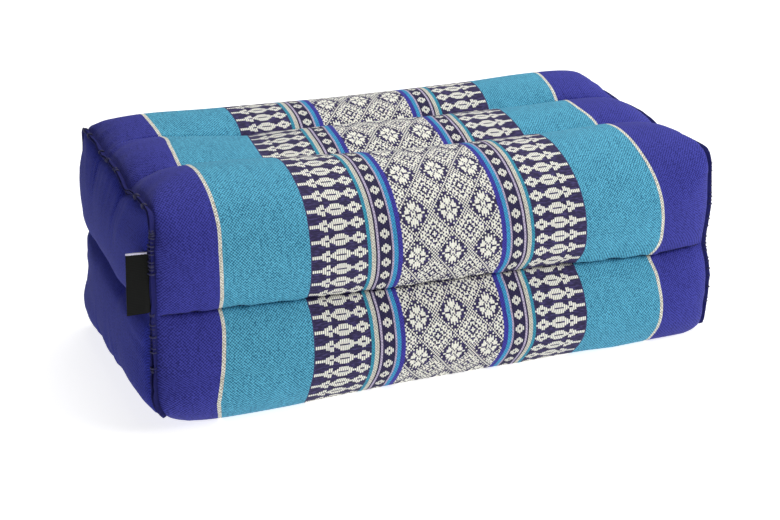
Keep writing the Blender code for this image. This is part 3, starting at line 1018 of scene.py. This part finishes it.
def stitch_tree(name, whipped):
    """A tree that lays stitches along lines: flat ones in the line, or ones whipped over it."""
    tree = bpy.data.node_groups.new(name, "GeometryNodeTree")
    panel = tree.interface
    for label, kind, value in (
        ("Geometry", "Geometry", None),
        ("Pitch", "Float", 0.003),
        ("Length", "Float", 0.0024),
        ("Thread", "Float", 0.0003),
        ("Unevenness", "Float", 0.2),
        ("Seed", "Int", 1),
        ("Material", "Material", None),
    ):
        socket = panel.new_socket(label, in_out="INPUT", socket_type="NodeSocket" + kind)
        if value is not None:
            socket.default_value = value
    panel.new_socket("Geometry", in_out="OUTPUT", socket_type="NodeSocketGeometry")
    given = tree.nodes.new("NodeGroupInput").outputs
    line = add(tree, "GeometryNodeMeshToCurve", given["Geometry"])
    pitch = {"Length": given["Pitch"]}
    laid = add(tree, "GeometryNodeResampleCurve", line, mode="LENGTH", inputs=pitch)

    # each stitch lies along its line, stands out of the cloth and is a little askew
    facing = None
    for way, axis, pivot in (
        (add(tree, "GeometryNodeInputTangent"), "X", "AUTO"),
        (add(tree, "GeometryNodeInputNamedAttribute", "out", data_type="FLOAT_VECTOR"), "Z", "X"),
    ):
        kind = "FunctionNodeAlignRotationToVector"
        facing = add(tree, kind, facing, None, way, axis=axis, pivot_axis=pivot)
    uneven = add(tree, "Math", given["Unevenness"], STITCH_SKEW, operation="MULTIPLY")
    spreads = (
        (add(tree, "Math", uneven, -1.0, operation="MULTIPLY"), uneven),
        [
            add(tree, "Math", 1.0, given["Unevenness"], operation=operation)
            for operation in ("SUBTRACT", "ADD")
        ],
    )
    skew, size = (
        add(
            tree, "FunctionNodeRandomValue", data_type="FLOAT", out=1,
            inputs={2: least, 3: most, "Seed": given["Seed"]},
        )
        for least, most in spreads
    )
    twist = add(tree, "CombineXYZ", None, None, skew)
    turned = add(tree, "FunctionNodeRotateRotation", facing, twist, rotation_space="LOCAL")

    half = add(tree, "Math", given["Length"], 0.5, operation="MULTIPLY")
    if whipped:  # rather more than half a turn of thread over the edge, leaning along it
        turn = {"Start Angle": -WHIP_OVER, "Sweep Angle": math.pi + 2 * WHIP_OVER}
        turn.update({"Resolution": 7, "Radius": half})
        run = add(tree, "GeometryNodeCurveArc", mode="RADIUS", inputs=turn)
        upright = {"Rotation": (math.radians(90), 0, math.radians(90 - WHIP_LEAN))}
        run = add(tree, "GeometryNodeTransform", run, inputs=upright)
    else:  # straight, but humped by its thread's thickness
        back = add(tree, "Math", half, -1.0, operation="MULTIPLY")
        ends = [add(tree, "CombineXYZ", x, None, None) for x in (back, half)]
        run = add(tree, "GeometryNodeCurvePrimitiveLine", *ends)
        run = add(tree, "GeometryNodeResampleCurve", run, mode="COUNT", inputs={"Count": 5})
        along = add(tree, "GeometryNodeSplineParameter")
        steps = (("MULTIPLY", math.pi), ("SINE",), ("MULTIPLY", given["Thread"]))
        hump = add(tree, "CombineXYZ", None, None, worked(tree, "Math", along, *steps))
        run = add(tree, "GeometryNodeSetPosition", run, inputs={"Offset": hump})
    section = {"Resolution": 6, "Radius": given["Thread"]}
    section = add(tree, "GeometryNodeCurvePrimitiveCircle", mode="RADIUS", inputs=section)
    stitch = add(tree, "GeometryNodeCurveToMesh", run, section, inputs={"Fill Caps": True})
    sewn = {"Instance": stitch, "Rotation": turned, "Scale": size}
    sewn = add(tree, "GeometryNodeInstanceOnPoints", laid, inputs=sewn)
    sewn = add(tree, "GeometryNodeRealizeInstances", sewn)
    sewn = add(tree, "GeometryNodeSetShadeSmooth", sewn)
    sewn = add(tree, "GeometryNodeSetMaterial", sewn, inputs={"Material": given["Material"]})
    add(tree, "NodeGroupOutput", sewn)
    return tree


def sew(name, lines, whipped, material, **sizes):
    """Runs the stitch tree along the lines and keeps what it makes as a plain mesh."""
    path = stitched_lines(name, lines)
    modifier = path.modifiers.new("stitches", "NODES")
    modifier.node_group = stitch_tree(name, whipped)
    sizes["Material"] = material
    for item in modifier.node_group.interface.items_tree:
        if item.in_out == "INPUT" and item.name in sizes:
            modifier[item.identifier] = sizes[item.name]
    graph = bpy.context.evaluated_depsgraph_get()
    thing = put_in_scene(name, bpy.data.meshes.new_from_object(path.evaluated_get(graph)))
    thing.data.materials.clear()
    thing.data.materials.append(material)
    if not thing.data.polygons:
        raise RuntimeError(f"no stitches were made for {name}")
    return thing


def quilting_lines():
    """The six sewn lines along the wrap, just above the bottom of their creases."""
    wrap, _ = sewn_wrap()
    line, out = (rows[RINGS_BARE:-RINGS_BARE] for rows in (wrap, wrap_normals(wrap)))
    return [(line[:, k] + out[:, k] * THREAD_CLEAR, out[:, k]) for k in SEWN_PLACES]


def whip_lines(side, size, runs):
    """Stretches of a raw edge to whip over, by height on its front, and every pinched spot."""
    seam, out, beyond = end_frame(side)
    stand = (out + beyond) * math.sqrt(0.5)
    way, girth, width, _ = edge_profile(side, size)
    line = seam + stand * (width * EDGE_HALFWAY)[:, None]
    picked = [
        [i for i in range(LOWER_FRONT, UPPER_FRONT) if low <= seam[i, 2] <= high]
        for low, high in runs
    ]
    pairs = [
        [spot, (spot + 1) % len(seam)]
        for spot in pinched_places(way, girth)[0]
        if seam[spot, 2] >= PINCH_LOWEST
    ]
    return [[(line[places], stand[places]) for places in group] for group in (picked, pairs)]


# ---- the tab ----


def make_label(size, material):
    """A tape folded in two, its cut ends in the seam: soft fold, a slight belly and curl."""
    steps, rows, fold_steps = 12, 16, 7
    thick, gap = 0.00045, 0.0005
    turn = math.radians(12)  # it leans this far from straight out
    past_end, behind_front = 0.0030, 0.0011  # where it leaves the seam
    in_seam, slant = 0.0006, 0.0026  # how much of it the seam hides, and how much more above
    belly_out, belly_back, curl, droop = 0.0007, 0.0005, 0.0011, 0.0004
    kink_above, kink_more = 0.0008, 0.0034  # how far its foot follows the raw edge
    start = np.array((-size.length / 2 - past_end, -size.width / 2 + behind_front))
    kink = np.array((-0.94, -0.34))
    out = np.array((-math.cos(turn), math.sin(turn)))
    left = np.array((-out[1], out[0]))
    reach = size.label_reach + in_seam
    # how far out each place is from one cut end to the other, and how far round the fold
    along = np.concatenate([np.linspace(0, reach - gap, steps), np.full(fold_steps, reach - gap)])
    quarter = np.linspace(-np.pi / 2, 0, fold_steps + 1)[1:]
    bend = np.concatenate([np.full(steps, -np.pi / 2), quarter])
    along = np.concatenate([along, along[-2::-1]])
    bend = np.concatenate([bend, -bend[-2::-1]])
    points = []
    for layer in (0, 1):
        radius = gap / 2 + thick * (1 - layer)
        for share in np.arange(rows + 1) / rows:
            height = size.label_low + size.label_height * share
            belly = belly_out * math.sin(math.pi * share) - belly_back * share
            foot = kink_above + kink_more * (1 - share)
            for far, angle in zip(along, bend):
                flat = far / reach
                near = min(far, foot)
                place = start + kink * near - out * slant * share
                place = place + out * (far - near + radius * math.cos(angle))
                place = place + left * (radius * math.sin(angle) + belly * flat + curl * flat**2)
                points.append((*place, height - droop * flat * (1 - share)))
    count = len(along)
    number = np.arange(len(points)).reshape(2, rows + 1, count)
    faces = []
    for layer, n in enumerate(number):
        quads = np.stack((n[:-1, :-1], n[:-1, 1:], n[1:, 1:], n[1:, :-1]), -1).reshape(-1, 4)
        faces += (quads[:, ::-1] if layer else quads).tolist()
    outer, inner = number.tolist()
    for i in range(count - 1):
        faces.append((outer[0][i + 1], outer[0][i], inner[0][i], inner[0][i + 1]))
        faces.append((outer[-1][i], outer[-1][i + 1], inner[-1][i + 1], inner[-1][i]))
    for j in range(rows):
        faces.append((outer[j][0], outer[j + 1][0], inner[j + 1][0], inner[j][0]))
        faces.append((outer[j + 1][-1], outer[j][-1], inner[j][-1], inner[j + 1][-1]))
    thing = put_in_scene("folded_tab", plain_mesh("folded_tab", points, faces))
    return finish_mesh(thing, material, sharp=60)


# ---- materials ----
# The weave map is in millimetres of cloth, so a pattern's scale on it is one over its size.


def new_material(name):
    """A material and its empty tree."""
    material = bpy.data.materials.new(name)
    material.use_nodes = True
    material.node_tree.nodes.clear()
    return material, material.node_tree


def surfaced(material, inputs):
    """The material with its shader's inputs set or linked."""
    shader = add(material.node_tree, "BsdfPrincipled", inputs=inputs)
    add(material.node_tree, "OutputMaterial", shader)
    return material


def threads(tree, weave):
    """Light and dark of a plain weave, 0 to 1: warp over weft, a thread every pitch."""
    loose = add(tree, "TexNoise", weave, out="Color", inputs={"Scale": 1 / 6.25, "Detail": 3.0})
    turns = worked(tree, "VectorMath", loose, ("ADD", (-0.5, -0.5, -0.5)), ("ADD", weave))
    turns = add(tree, "VectorMath", turns, operation="SCALE", inputs={"Scale": math.pi / THREAD_PITCH})
    turns = add(tree, "VectorMath", turns, operation="SINE")
    waves = add(tree, "SeparateXYZ", turns)
    # streaks about 2 by 8 mm, leaning, where the threads are tighter, and single thicker threads
    lean = {"Rotation": (0, 0, math.radians(48)), "Scale": (0.45, 0.12, 1)}
    lean = add(tree, "Mapping", weave, inputs=lean)
    lean = add(tree, "TexNoise", lean, inputs={"Scale": 1.0, "Detail": 3.0})
    strength = {"From Min": 0.3, "From Max": 0.7, "To Min": 0.7, "To Max": 1.1}
    strength = add(tree, "MapRange", lean, inputs=strength)
    steps = (("MULTIPLY", CROSSINGS), ("MULTIPLY_ADD", strength, lean))
    checks = worked(tree, "Math", waves, ("MULTIPLY", waves.node.outputs[1]), *steps)
    uneven = add(tree, "TexNoise", weave, inputs={"Scale": 1 / 1.25, "Detail": 1.0})
    uneven = add(tree, "MapRange", uneven, clamp=False, inputs={"To Min": -1.0, "To Max": 1.0})
    checks = add(tree, "Math", uneven, THICKER, checks, operation="MULTIPLY_ADD")
    return add(tree, "Clamp", checks)


def dyed(tree, weave, fleck, dark, light):
    """The darker yarn's colour with the lighter one's where the fleck is, in broad patches."""
    patch = add(tree, "TexNoise", weave, inputs={"Scale": 1 / 20, "Detail": 3.0})
    fleck = add(tree, "Math", fleck, 0.8, operation="MULTIPLY")
    amount = add(tree, "Math", patch, 0.2, fleck, operation="MULTIPLY_ADD")
    return add(tree, "Mix", out=2, data_type="RGBA", inputs={0: amount, 6: dark, 7: light})


def plain_woven(name, dark, light):
    """Plain dyed cotton, closely woven: matt, flecked by its lighter yarn, softly uneven."""
    material, tree = new_material(name)
    weave = add(tree, "UVMap", uv_map="weave")
    fleck = threads(tree, weave)
    raised = {"Strength": 0.6, "Distance": 0.00012, "Height": fleck}
    return surfaced(
        material,
        {
            "Base Color": dyed(tree, weave, fleck, tuple(dark), tuple(light)),
            "Normal": add(tree, "Bump", inputs=raised),
            "Roughness": 0.85,
            "Specular IOR Level": 0.25,
        },
    )


def within(tree, value, low, high):
    """1 where the value lies between two limits, either of them a number or a socket."""
    above = add(tree, "Math", value, low, operation="GREATER_THAN")
    below = add(tree, "Math", value, high, operation="LESS_THAN")
    return add(tree, "Math", above, below, operation="MULTIPLY")


def stroke_mask(tree, share, ribs, row, taper):
    """Cream strokes, one to a rib, between the two heights that the rib's stop in a ramp holds.

    Returns the mask and how near each place is to its rib's edge, from 0 to 1.
    """
    count = len(ribs)
    held = add(tree, "ValToRGB", share)
    stops = [
        (i / count, (low / STROKE_SCALE, high / STROKE_SCALE, 0, 1))
        for i, (low, high) in enumerate(ribs)
    ]
    fill_ramp(held.node.color_ramp, stops)
    ends = add(tree, "SeparateColor", held)
    to_edge = (("MULTIPLY", count), ("FRACT",), ("SUBTRACT", 0.5), ("ABSOLUTE",), ("MULTIPLY", 2))
    edge = worked(tree, "Math", share, *to_edge)
    curve = worked(tree, "Math", edge, ("POWER", 2), ("MULTIPLY", -taper))
    top = add(tree, "Math", ends.node.outputs[1], STROKE_SCALE, curve, operation="MULTIPLY_ADD")
    # just under it, so that a stroke from 0 has no gap
    foot = add(tree, "Math", ends, STROKE_SCALE, -0.001, operation="MULTIPLY_ADD")
    solid = add(tree, "Math", edge, RIB_SOLID, operation="LESS_THAN")
    return worked(tree, "Math", within(tree, row, foot, top), ("MULTIPLY", solid)), edge


def chart_mask(tree, across, up, chart, width, height):
    """Reads a weaver's chart of # and . in thread cells: a ramp holds a row's cells as one number."""
    rows = chart.split()[::-1]
    count, columns = len(rows), len(rows[0])
    to_cell = ("MULTIPLY_ADD", (count - 1) / height, 0.5), ("FLOOR",)
    share = worked(tree, "Math", up, *to_cell, ("MULTIPLY_ADD", 1 / count, 0.5 / count))
    held = add(tree, "ValToRGB", share)
    stops = []
    for number, row in enumerate(rows):
        if len(row) != columns:
            raise ValueError("a chart row is the wrong length")
        bits = sum(2**i for i, cell in enumerate(row) if cell == "#")
        stops.append((number / count, ((bits + 0.5) / 2**columns, 0, 0, 1)))
    fill_ramp(held.node.color_ramp, stops)
    number = add(tree, "SeparateColor", held)
    along = worked(tree, "Math", across, ("MULTIPLY_ADD", (columns - 1) / width, 0.5), ("FLOOR",))
    power = add(tree, "Math", columns, along, operation="SUBTRACT")
    power = add(tree, "Math", 2, power, operation="POWER")
    odd = (("MULTIPLY", power), ("FLOOR",), ("MULTIPLY", 0.5), ("FRACT",), ("GREATER_THAN", 0.25))
    return worked(tree, "Math", number, *odd)


def warp_colours(tree, weave, off, fleck, colours):
    """The broad stripes of the warp, and the slubby ground of the middle bands."""
    # slubs about 3.6 mm long and 1 mm thick
    slub = add(tree, "Mapping", weave, inputs={"Scale": (0.28, 0.95, 1)})
    slub = add(tree, "TexNoise", slub, inputs={"Scale": 1.0, "Detail": 3.0})
    slub = add(tree, "MapRange", slub, inputs={"From Min": 0.46, "From Max": 0.68})
    plain = add(tree, "Math", off, SPINDLE_EDGE, operation="GREATER_THAN")
    amount = add(tree, "Mix", data_type="FLOAT", inputs={0: plain, 2: slub, 3: fleck})
    whole = add(tree, "Math", off, 1 / CLOTH_EDGE, operation="MULTIPLY")
    yarns = []
    for codes in (
        (colours.ground, colours.turquoise, colours.line, colours.royal),
        (colours.violet, colours.turquoise_light, colours.cream, colours.royal_light),
    ):
        yarns.append(add(tree, "ValToRGB", whole))
        starts = (0, SPINDLE_EDGE, LINE_EDGE, ROYAL_EDGE)
        stops = [(at / CLOTH_EDGE, tuple(code)) for at, code in zip(starts, codes)]
        fill_ramp(yarns[-1].node.color_ramp, stops)
    return dyed(tree, weave, amount, *yarns)


def border_colours(tree, off, fleck):
    """The border's narrow stripes, shaded by their threads."""
    border = {"From Min": LATTICE_EDGE, "From Max": BORDER_EDGE}
    border = add(tree, "MapRange", off, clamp=True, inputs=border)
    stripes = add(tree, "ValToRGB", border)
    at, stops = 0.0, []
    whole = sum(width for width, _ in BORDER_STRIPES)
    for width, code in BORDER_STRIPES:
        stops.append((at / whole, linear(code)))
        at += width
    fill_ramp(stripes.node.color_ramp, stops)
    shaded = add(tree, "MapRange", fleck, inputs={"To Min": 0.6, "To Max": 1.25})
    return add(tree, "VectorMath", stripes, operation="SCALE", inputs={"Scale": shaded})


def raised_pattern(tree, place, off):
    """Where the cream yarn lies on top, and how near each place is to its spindle rib's edge."""
    along = place.node.outputs[1]
    row = add(tree, "Math", along, ROW_PITCH / 2, operation="PINGPONG")
    band = {"From Min": BORDER_EDGE, "From Max": SPINDLE_EDGE}
    band = add(tree, "MapRange", off, clamp=False, inputs=band)
    spindles, rib_edge = stroke_mask(tree, band, SPINDLE_RIBS, row, SPINDLE_TAPER)

    ribs = (*FLOWER_RIBS, (0.0, 0.0))  # with a bare one beside them
    to_petal = (
        ("SUBTRACT", LATTICE_EDGE + FLOWER_MIDDLE), ("ABSOLUTE",), ("ADD", FLOWER_RIB / 2),
        ("MULTIPLY", 1 / FLOWER_RIB / len(ribs)),
    )
    petal = worked(tree, "Math", off, *to_petal)
    flowers, _ = stroke_mask(tree, petal, ribs, row, FLOWER_TAPER)

    mirrored = add(tree, "Math", place, LATTICE_ACROSS, operation="PINGPONG")
    upward = add(tree, "Math", along, LATTICE_UP, operation="PINGPONG")
    lattice = chart_mask(tree, mirrored, upward, LATTICE_CHART, LATTICE_ACROSS, LATTICE_UP)

    mask = worked(tree, "Math", spindles, ("MULTIPLY", within(tree, band, 0.0, 1.0)))
    petals = len(FLOWER_RIBS) / len(ribs)
    for motif, where, end in ((flowers, petal, petals), (lattice, off, LATTICE_EDGE)):
        inside = add(tree, "Math", where, end, operation="LESS_THAN")
        mask = worked(tree, "Math", motif, ("MULTIPLY", inside), ("MAXIMUM", mask))
    return mask, rib_edge


def patterned_woven(colours):
    """Cotton woven in stripes with a raised cream pattern yarn over a dark, slubby ground."""
    material, tree = new_material("patterned woven cotton")
    weave = add(tree, "UVMap", uv_map="weave")
    # no line of the weaving is quite straight
    wander = add(tree, "TexNoise", weave, out="Color", inputs={"Scale": 1 / 25, "Detail": 3.0})
    moves = (("ADD", (-0.5, -0.5, -0.5)), ("MULTIPLY", (1.0, 1.2, 0.0)), ("ADD", weave))
    place = add(tree, "SeparateXYZ", worked(tree, "VectorMath", wander, *moves))
    off = add(tree, "Math", place, operation="ABSOLUTE")
    fleck = threads(tree, weave)
    mask, rib_edge = raised_pattern(tree, place, off)

    # each rib of cream yarn is darker towards its edges, painted shade for its round top, and it is
    # unevenly spun
    speck = add(tree, "TexNoise", weave, inputs={"Scale": 1 / 1.11, "Detail": 2.0})
    speck = add(tree, "MapRange", speck, inputs={"To Min": 0.8, "To Max": 1.12})
    shade_and_speck_steps = (("POWER", 2.0), ("MULTIPLY_ADD", -0.3, 1.0), ("MULTIPLY", speck))
    rib_shade_and_speck = worked(tree, "Math", rib_edge, *shade_and_speck_steps)
    cream = tuple(colours.cream)[:3]
    cream = add(tree, "VectorMath", cream, operation="SCALE", inputs={"Scale": rib_shade_and_speck})

    cloth = warp_colours(tree, weave, off, fleck, colours)
    in_border = within(tree, off, LATTICE_EDGE, BORDER_EDGE)
    for inside, yarn in ((in_border, border_colours(tree, off, fleck)), (mask, cream)):
        layers = {0: inside, 6: cloth, 7: yarn}
        cloth = add(tree, "Mix", out=2, data_type="RGBA", inputs=layers)
    height = add(tree, "Math", fleck, 0.5, operation="MULTIPLY")
    height = add(tree, "Math", mask, rib_shade_and_speck, height, operation="MULTIPLY_ADD")
    raised = {"Strength": 0.7, "Distance": 0.00022, "Height": height}
    return surfaced(
        material,
        {
            "Base Color": cloth,
            "Normal": add(tree, "Bump", inputs=raised),
            "Roughness": 0.85,
            "Specular IOR Level": 0.25,
            "Sheen Weight": 0.035,
        },
    )


def raw_edge(colours):
    """Cut cotton edge: the same blue yarn, darker in its depth, with loose lighter fibres."""
    material, tree = new_material("raw cotton edge")
    place = add(tree, "TexCoord", out="Object")
    tangle = {"Scale": 1 / (1.11 * MM), "Detail": 4.0, "Roughness": 0.7}
    fibre = add(tree, "TexNoise", place, inputs=tangle)
    fibre = add(tree, "MapRange", fibre, inputs={"From Min": 0.35, "From Max": 0.7})
    dye = {0: fibre, 6: linear("#26265C"), 7: tuple(colours.royal)}
    raised = {"Strength": 0.8, "Distance": 0.0003, "Height": fibre}
    return surfaced(
        material,
        {
            "Base Color": add(tree, "Mix", out=2, data_type="RGBA", inputs=dye),
            "Normal": add(tree, "Bump", inputs=raised),
            "Roughness": 0.92,
            "Specular IOR Level": 0.2,
        },
    )


def spun_thread(colours):
    """Dyed polyester sewing thread: a slight gloss, lighter where its twist stands out."""
    material, tree = new_material("spun sewing thread")
    place = add(tree, "TexCoord", out="Object")
    twist = add(tree, "TexNoise", place, inputs={"Scale": 1 / (0.667 * MM), "Detail": 2.0})
    dye = {0: twist, 6: tuple(colours.thread), 7: linear("#2F2E66")}
    colour = add(tree, "Mix", out=2, data_type="RGBA", inputs=dye)
    return surfaced(material, {"Base Color": colour, "Roughness": 0.6})


def woven_tape(colours, top):
    """Black polyester tape, closely ribbed: nearly no gloss, pale loose fibres on its cut top."""
    material, tree = new_material("woven polyester tape")
    fray, fray_over = 0.0014, 0.0012  # loose fibres begin this far below its top, and fill this
    place = add(tree, "TexCoord", out="Object")
    # ribs a millimetre apart, drawn coarser than real ones so that they show; the bands of a
    # wave texture are pi / 10 apart at scale 1
    bands = {"Scale": math.pi / 10 / (0.982 * MM)}
    bands.update({"Distortion": 0.6, "Detail": 1.0, "Detail Scale": 3.0})
    ribs = add(tree, "TexWave", place, bands_direction="Z", inputs=bands)
    dye = {0: ribs, 6: linear("#0B0C0B"), 7: tuple(colours.tape)}
    colour = add(tree, "Mix", out=2, data_type="RGBA", inputs=dye)
    fibre = add(tree, "Mapping", place, inputs={"Scale": (1.0, 1.0, 0.25)})
    fibre = add(tree, "TexNoise", fibre, inputs={"Scale": 1 / (0.714 * MM), "Detail": 2.0})
    height = add(tree, "SeparateXYZ", place).node.outputs[2]
    to_fibre = (("SUBTRACT", top - fray), ("MULTIPLY", 1 / fray_over), ("GREATER_THAN", fibre))
    frayed = worked(tree, "Math", height, *to_fibre)
    dye = {0: frayed, 6: colour, 7: linear("#D9D6EA")}
    raised = {"Strength": 0.5, "Distance": 0.00012, "Height": ribs}
    return surfaced(
        material,
        {
            "Base Color": add(tree, "Mix", out=2, data_type="RGBA", inputs=dye),
            "Normal": add(tree, "Bump", inputs=raised),
            "Roughness": 0.7,
            "Specular IOR Level": 0.15,
        },
    )


def lit_acrylic():
    """Lit white acrylic table: an even, almost shadowless white."""
    material, _ = new_material("lit white acrylic")
    glow = {"Emission Color": (1, 1, 1, 1), "Emission Strength": 0.8}
    return surfaced(material, {"Base Color": linear("#C4C4C4"), "Roughness": 0.9, **glow})


# ---- the stage ----


def make_floor():
    """A broad flat table top at the height the cushion stands on."""
    corners = [(x * FLOOR_HALF, y * FLOOR_HALF, 0) for x, y in ((-1, -1), (1, -1), (1, 1), (-1, 1))]
    floor = put_in_scene("floor", plain_mesh("floor", corners, [(0, 1, 2, 3)]))
    floor.data.materials.append(lit_acrylic())
    return floor


def white_world():
    """An even white all round."""
    world = bpy.data.worlds.new("white studio")
    world.use_nodes = True
    colour, strength = world.node_tree.nodes["Background"].inputs[:2]
    colour.default_value = (1, 1, 1, 1)
    strength.default_value = WORLD_STRENGTH
    return world


def hang_lamp(name, place, width, power):
    """A square soft light, turned to the cushion."""
    light = bpy.data.lights.new(name, "AREA")
    light.size, light.energy = width, power
    lamp = put_in_scene(name, light)
    lamp.location = place
    lamp.rotation_euler = (Vector(LAMPS_AIM) - lamp.location).to_track_quat("-Z", "Y").to_euler()


def set_camera():
    """The camera, a little to the left of the front and above it."""
    camera = bpy.data.cameras.new("camera")
    camera.sensor_width, camera.lens = CAMERA_SENSOR, CAMERA_LENS
    camera.shift_x, camera.shift_y = CAMERA_SHIFT
    camera.clip_end = CAMERA_CLIP
    viewer = put_in_scene("camera", camera)
    azimuth, elevation, roll = (math.radians(angle) for angle in CAMERA_ANGLES)
    level = math.cos(elevation)
    back = Vector((math.sin(azimuth) * level, -math.cos(azimuth) * level, math.sin(elevation)))
    turned = back.to_track_quat("Z", "Y") @ Matrix.Rotation(roll, 3, "Z").to_quaternion()
    viewer.location = Vector(CAMERA_AIM) + back * CAMERA_AWAY
    viewer.rotation_euler = turned.to_euler()
    return viewer


# ---- operators ----


class CUSHION_OT_wrap(bpy.types.Operator):
    """Sew, fill and pucker the patterned wrap"""

    bl_idname = "cushion.wrap"
    bl_label = "Wrap and Filling"

    def execute(self, context):
        thing = make_wrap(context.scene.cushion_sizes, patterned_woven(context.scene.cushion_colours))
        declare(thing, "wrap", "body")
        return {"FINISHED"}


class CUSHION_OT_end_panels(bpy.types.Operator):
    """Lay a plain panel over each filled end"""

    bl_idname = "cushion.end_panels"
    bl_label = "End Panels"

    def execute(self, context):
        colours = context.scene.cushion_colours
        # the end panels take the darker copy of the royal yarns, which is painted shade
        material = plain_woven("plain woven cotton", colours.panel, colours.shaded_panel_fleck)
        for (word, side), grid in zip(SIDES, sewn_wrap()[1]):
            thing = make_end_panel(f"end_panel_{word}", side, grid, material)
            declare(thing, "end_panel", f"end_{word}")
        return {"FINISHED"}


class CUSHION_OT_seam_edges(bpy.types.Operator):
    """Stand the raw seam edges out round both ends"""

    bl_idname = "cushion.seam_edges"
    bl_label = "Raw Seam Edges"

    def execute(self, context):
        material = raw_edge(context.scene.cushion_colours)
        for word, side in SIDES:
            thing = make_seam_edge(f"raw_edge_{word}", side, context.scene.cushion_sizes, material)
            declare(thing, "seam_edge", f"seam_{word}")
        return {"FINISHED"}


class CUSHION_OT_stitches(bpy.types.Operator):
    """Sew the quilting lines and whip the raw edges over"""

    bl_idname = "cushion.stitches"
    bl_label = "Stitches"

    def execute(self, context):
        size = context.scene.cushion_sizes
        thread = spun_thread(context.scene.cushion_colours)
        quilting = sew(
            "quilting_stitches", quilting_lines(), False, thread,
            Pitch=0.0034, Length=0.0026, Thread=0.00022, Unevenness=0.15, Seed=3,
        )
        declare(quilting, "wrap")
        close, pinches = whip_lines(-1, size, LEFT_WHIPPED)
        right, _ = whip_lines(1, size, RIGHT_WHIPPED)
        for name, lines, pitch, length in (
            ("whip_stitches_left", close, 0.0022, 0.0028),
            ("pinch_stitches_left", pinches, 0.0007, 0.0024),
            ("whip_stitches_right", right, 0.0024, 0.0014),
        ):
            whips = sew(
                name, lines, True, thread,
                Pitch=pitch, Length=length, Thread=0.00042, Unevenness=0.35, Seed=7,
            )
            declare(whips, "seam_edge")
        return {"FINISHED"}


class CUSHION_OT_label(bpy.types.Operator):
    """Fold the blank tab into the left front seam"""

    bl_idname = "cushion.label"
    bl_label = "Folded Tab"

    def execute(self, context):
        size = context.scene.cushion_sizes
        top = size.label_low + size.label_height
        thing = make_label(size, woven_tape(context.scene.cushion_colours, top))
        declare(thing, "tab", "label")
        return {"FINISHED"}


class CUSHION_OT_stage(bpy.types.Operator):
    """Set the lit white table, the soft lights and the camera"""

    bl_idname = "cushion.stage"
    bl_label = "Stage"

    def execute(self, context):
        scene = context.scene
        scene.view_settings.view_transform = "Standard"
        make_floor()
        scene.world = white_world()
        for lamp in LAMPS:
            hang_lamp(*lamp)
        scene.camera = set_camera()
        return {"FINISHED"}


class CUSHION_PT_panel(bpy.types.Panel):
    """Sizes, colours and steps of the cushion"""

    bl_label = "Cushion"
    bl_idname = "CUSHION_PT_panel"
    bl_space_type = "VIEW_3D"
    bl_region_type = "UI"
    bl_category = "Cushion"

    def draw(self, context):
        for group in (context.scene.cushion_sizes, context.scene.cushion_colours):
            column = self.layout.column()
            for name in group.__annotations__:
                column.prop(group, name)
        for step in STEPS_IN_ORDER:
            self.layout.operator(step.bl_idname)


STEPS_IN_ORDER = (
    CUSHION_OT_wrap,
    CUSHION_OT_end_panels,
    CUSHION_OT_seam_edges,
    CUSHION_OT_stitches,
    CUSHION_OT_label,
    CUSHION_OT_stage,
)
CLASSES = (CushionSizes, CushionColours, *STEPS_IN_ORDER, CUSHION_PT_panel)


def register():
    for each in CLASSES:
        bpy.utils.register_class(each)
    bpy.types.Scene.cushion_sizes = PointerProperty(type=CushionSizes)
    bpy.types.Scene.cushion_colours = PointerProperty(type=CushionColours)


def unregister():
    del bpy.types.Scene.cushion_sizes
    del bpy.types.Scene.cushion_colours
    for each in reversed(CLASSES):
        bpy.utils.unregister_class(each)


def main():
    register()
    for step in STEPS_IN_ORDER:
        group, name = step.bl_idname.split(".")
        getattr(getattr(bpy.ops, group), name)()


if __name__ == "__main__":
    main()
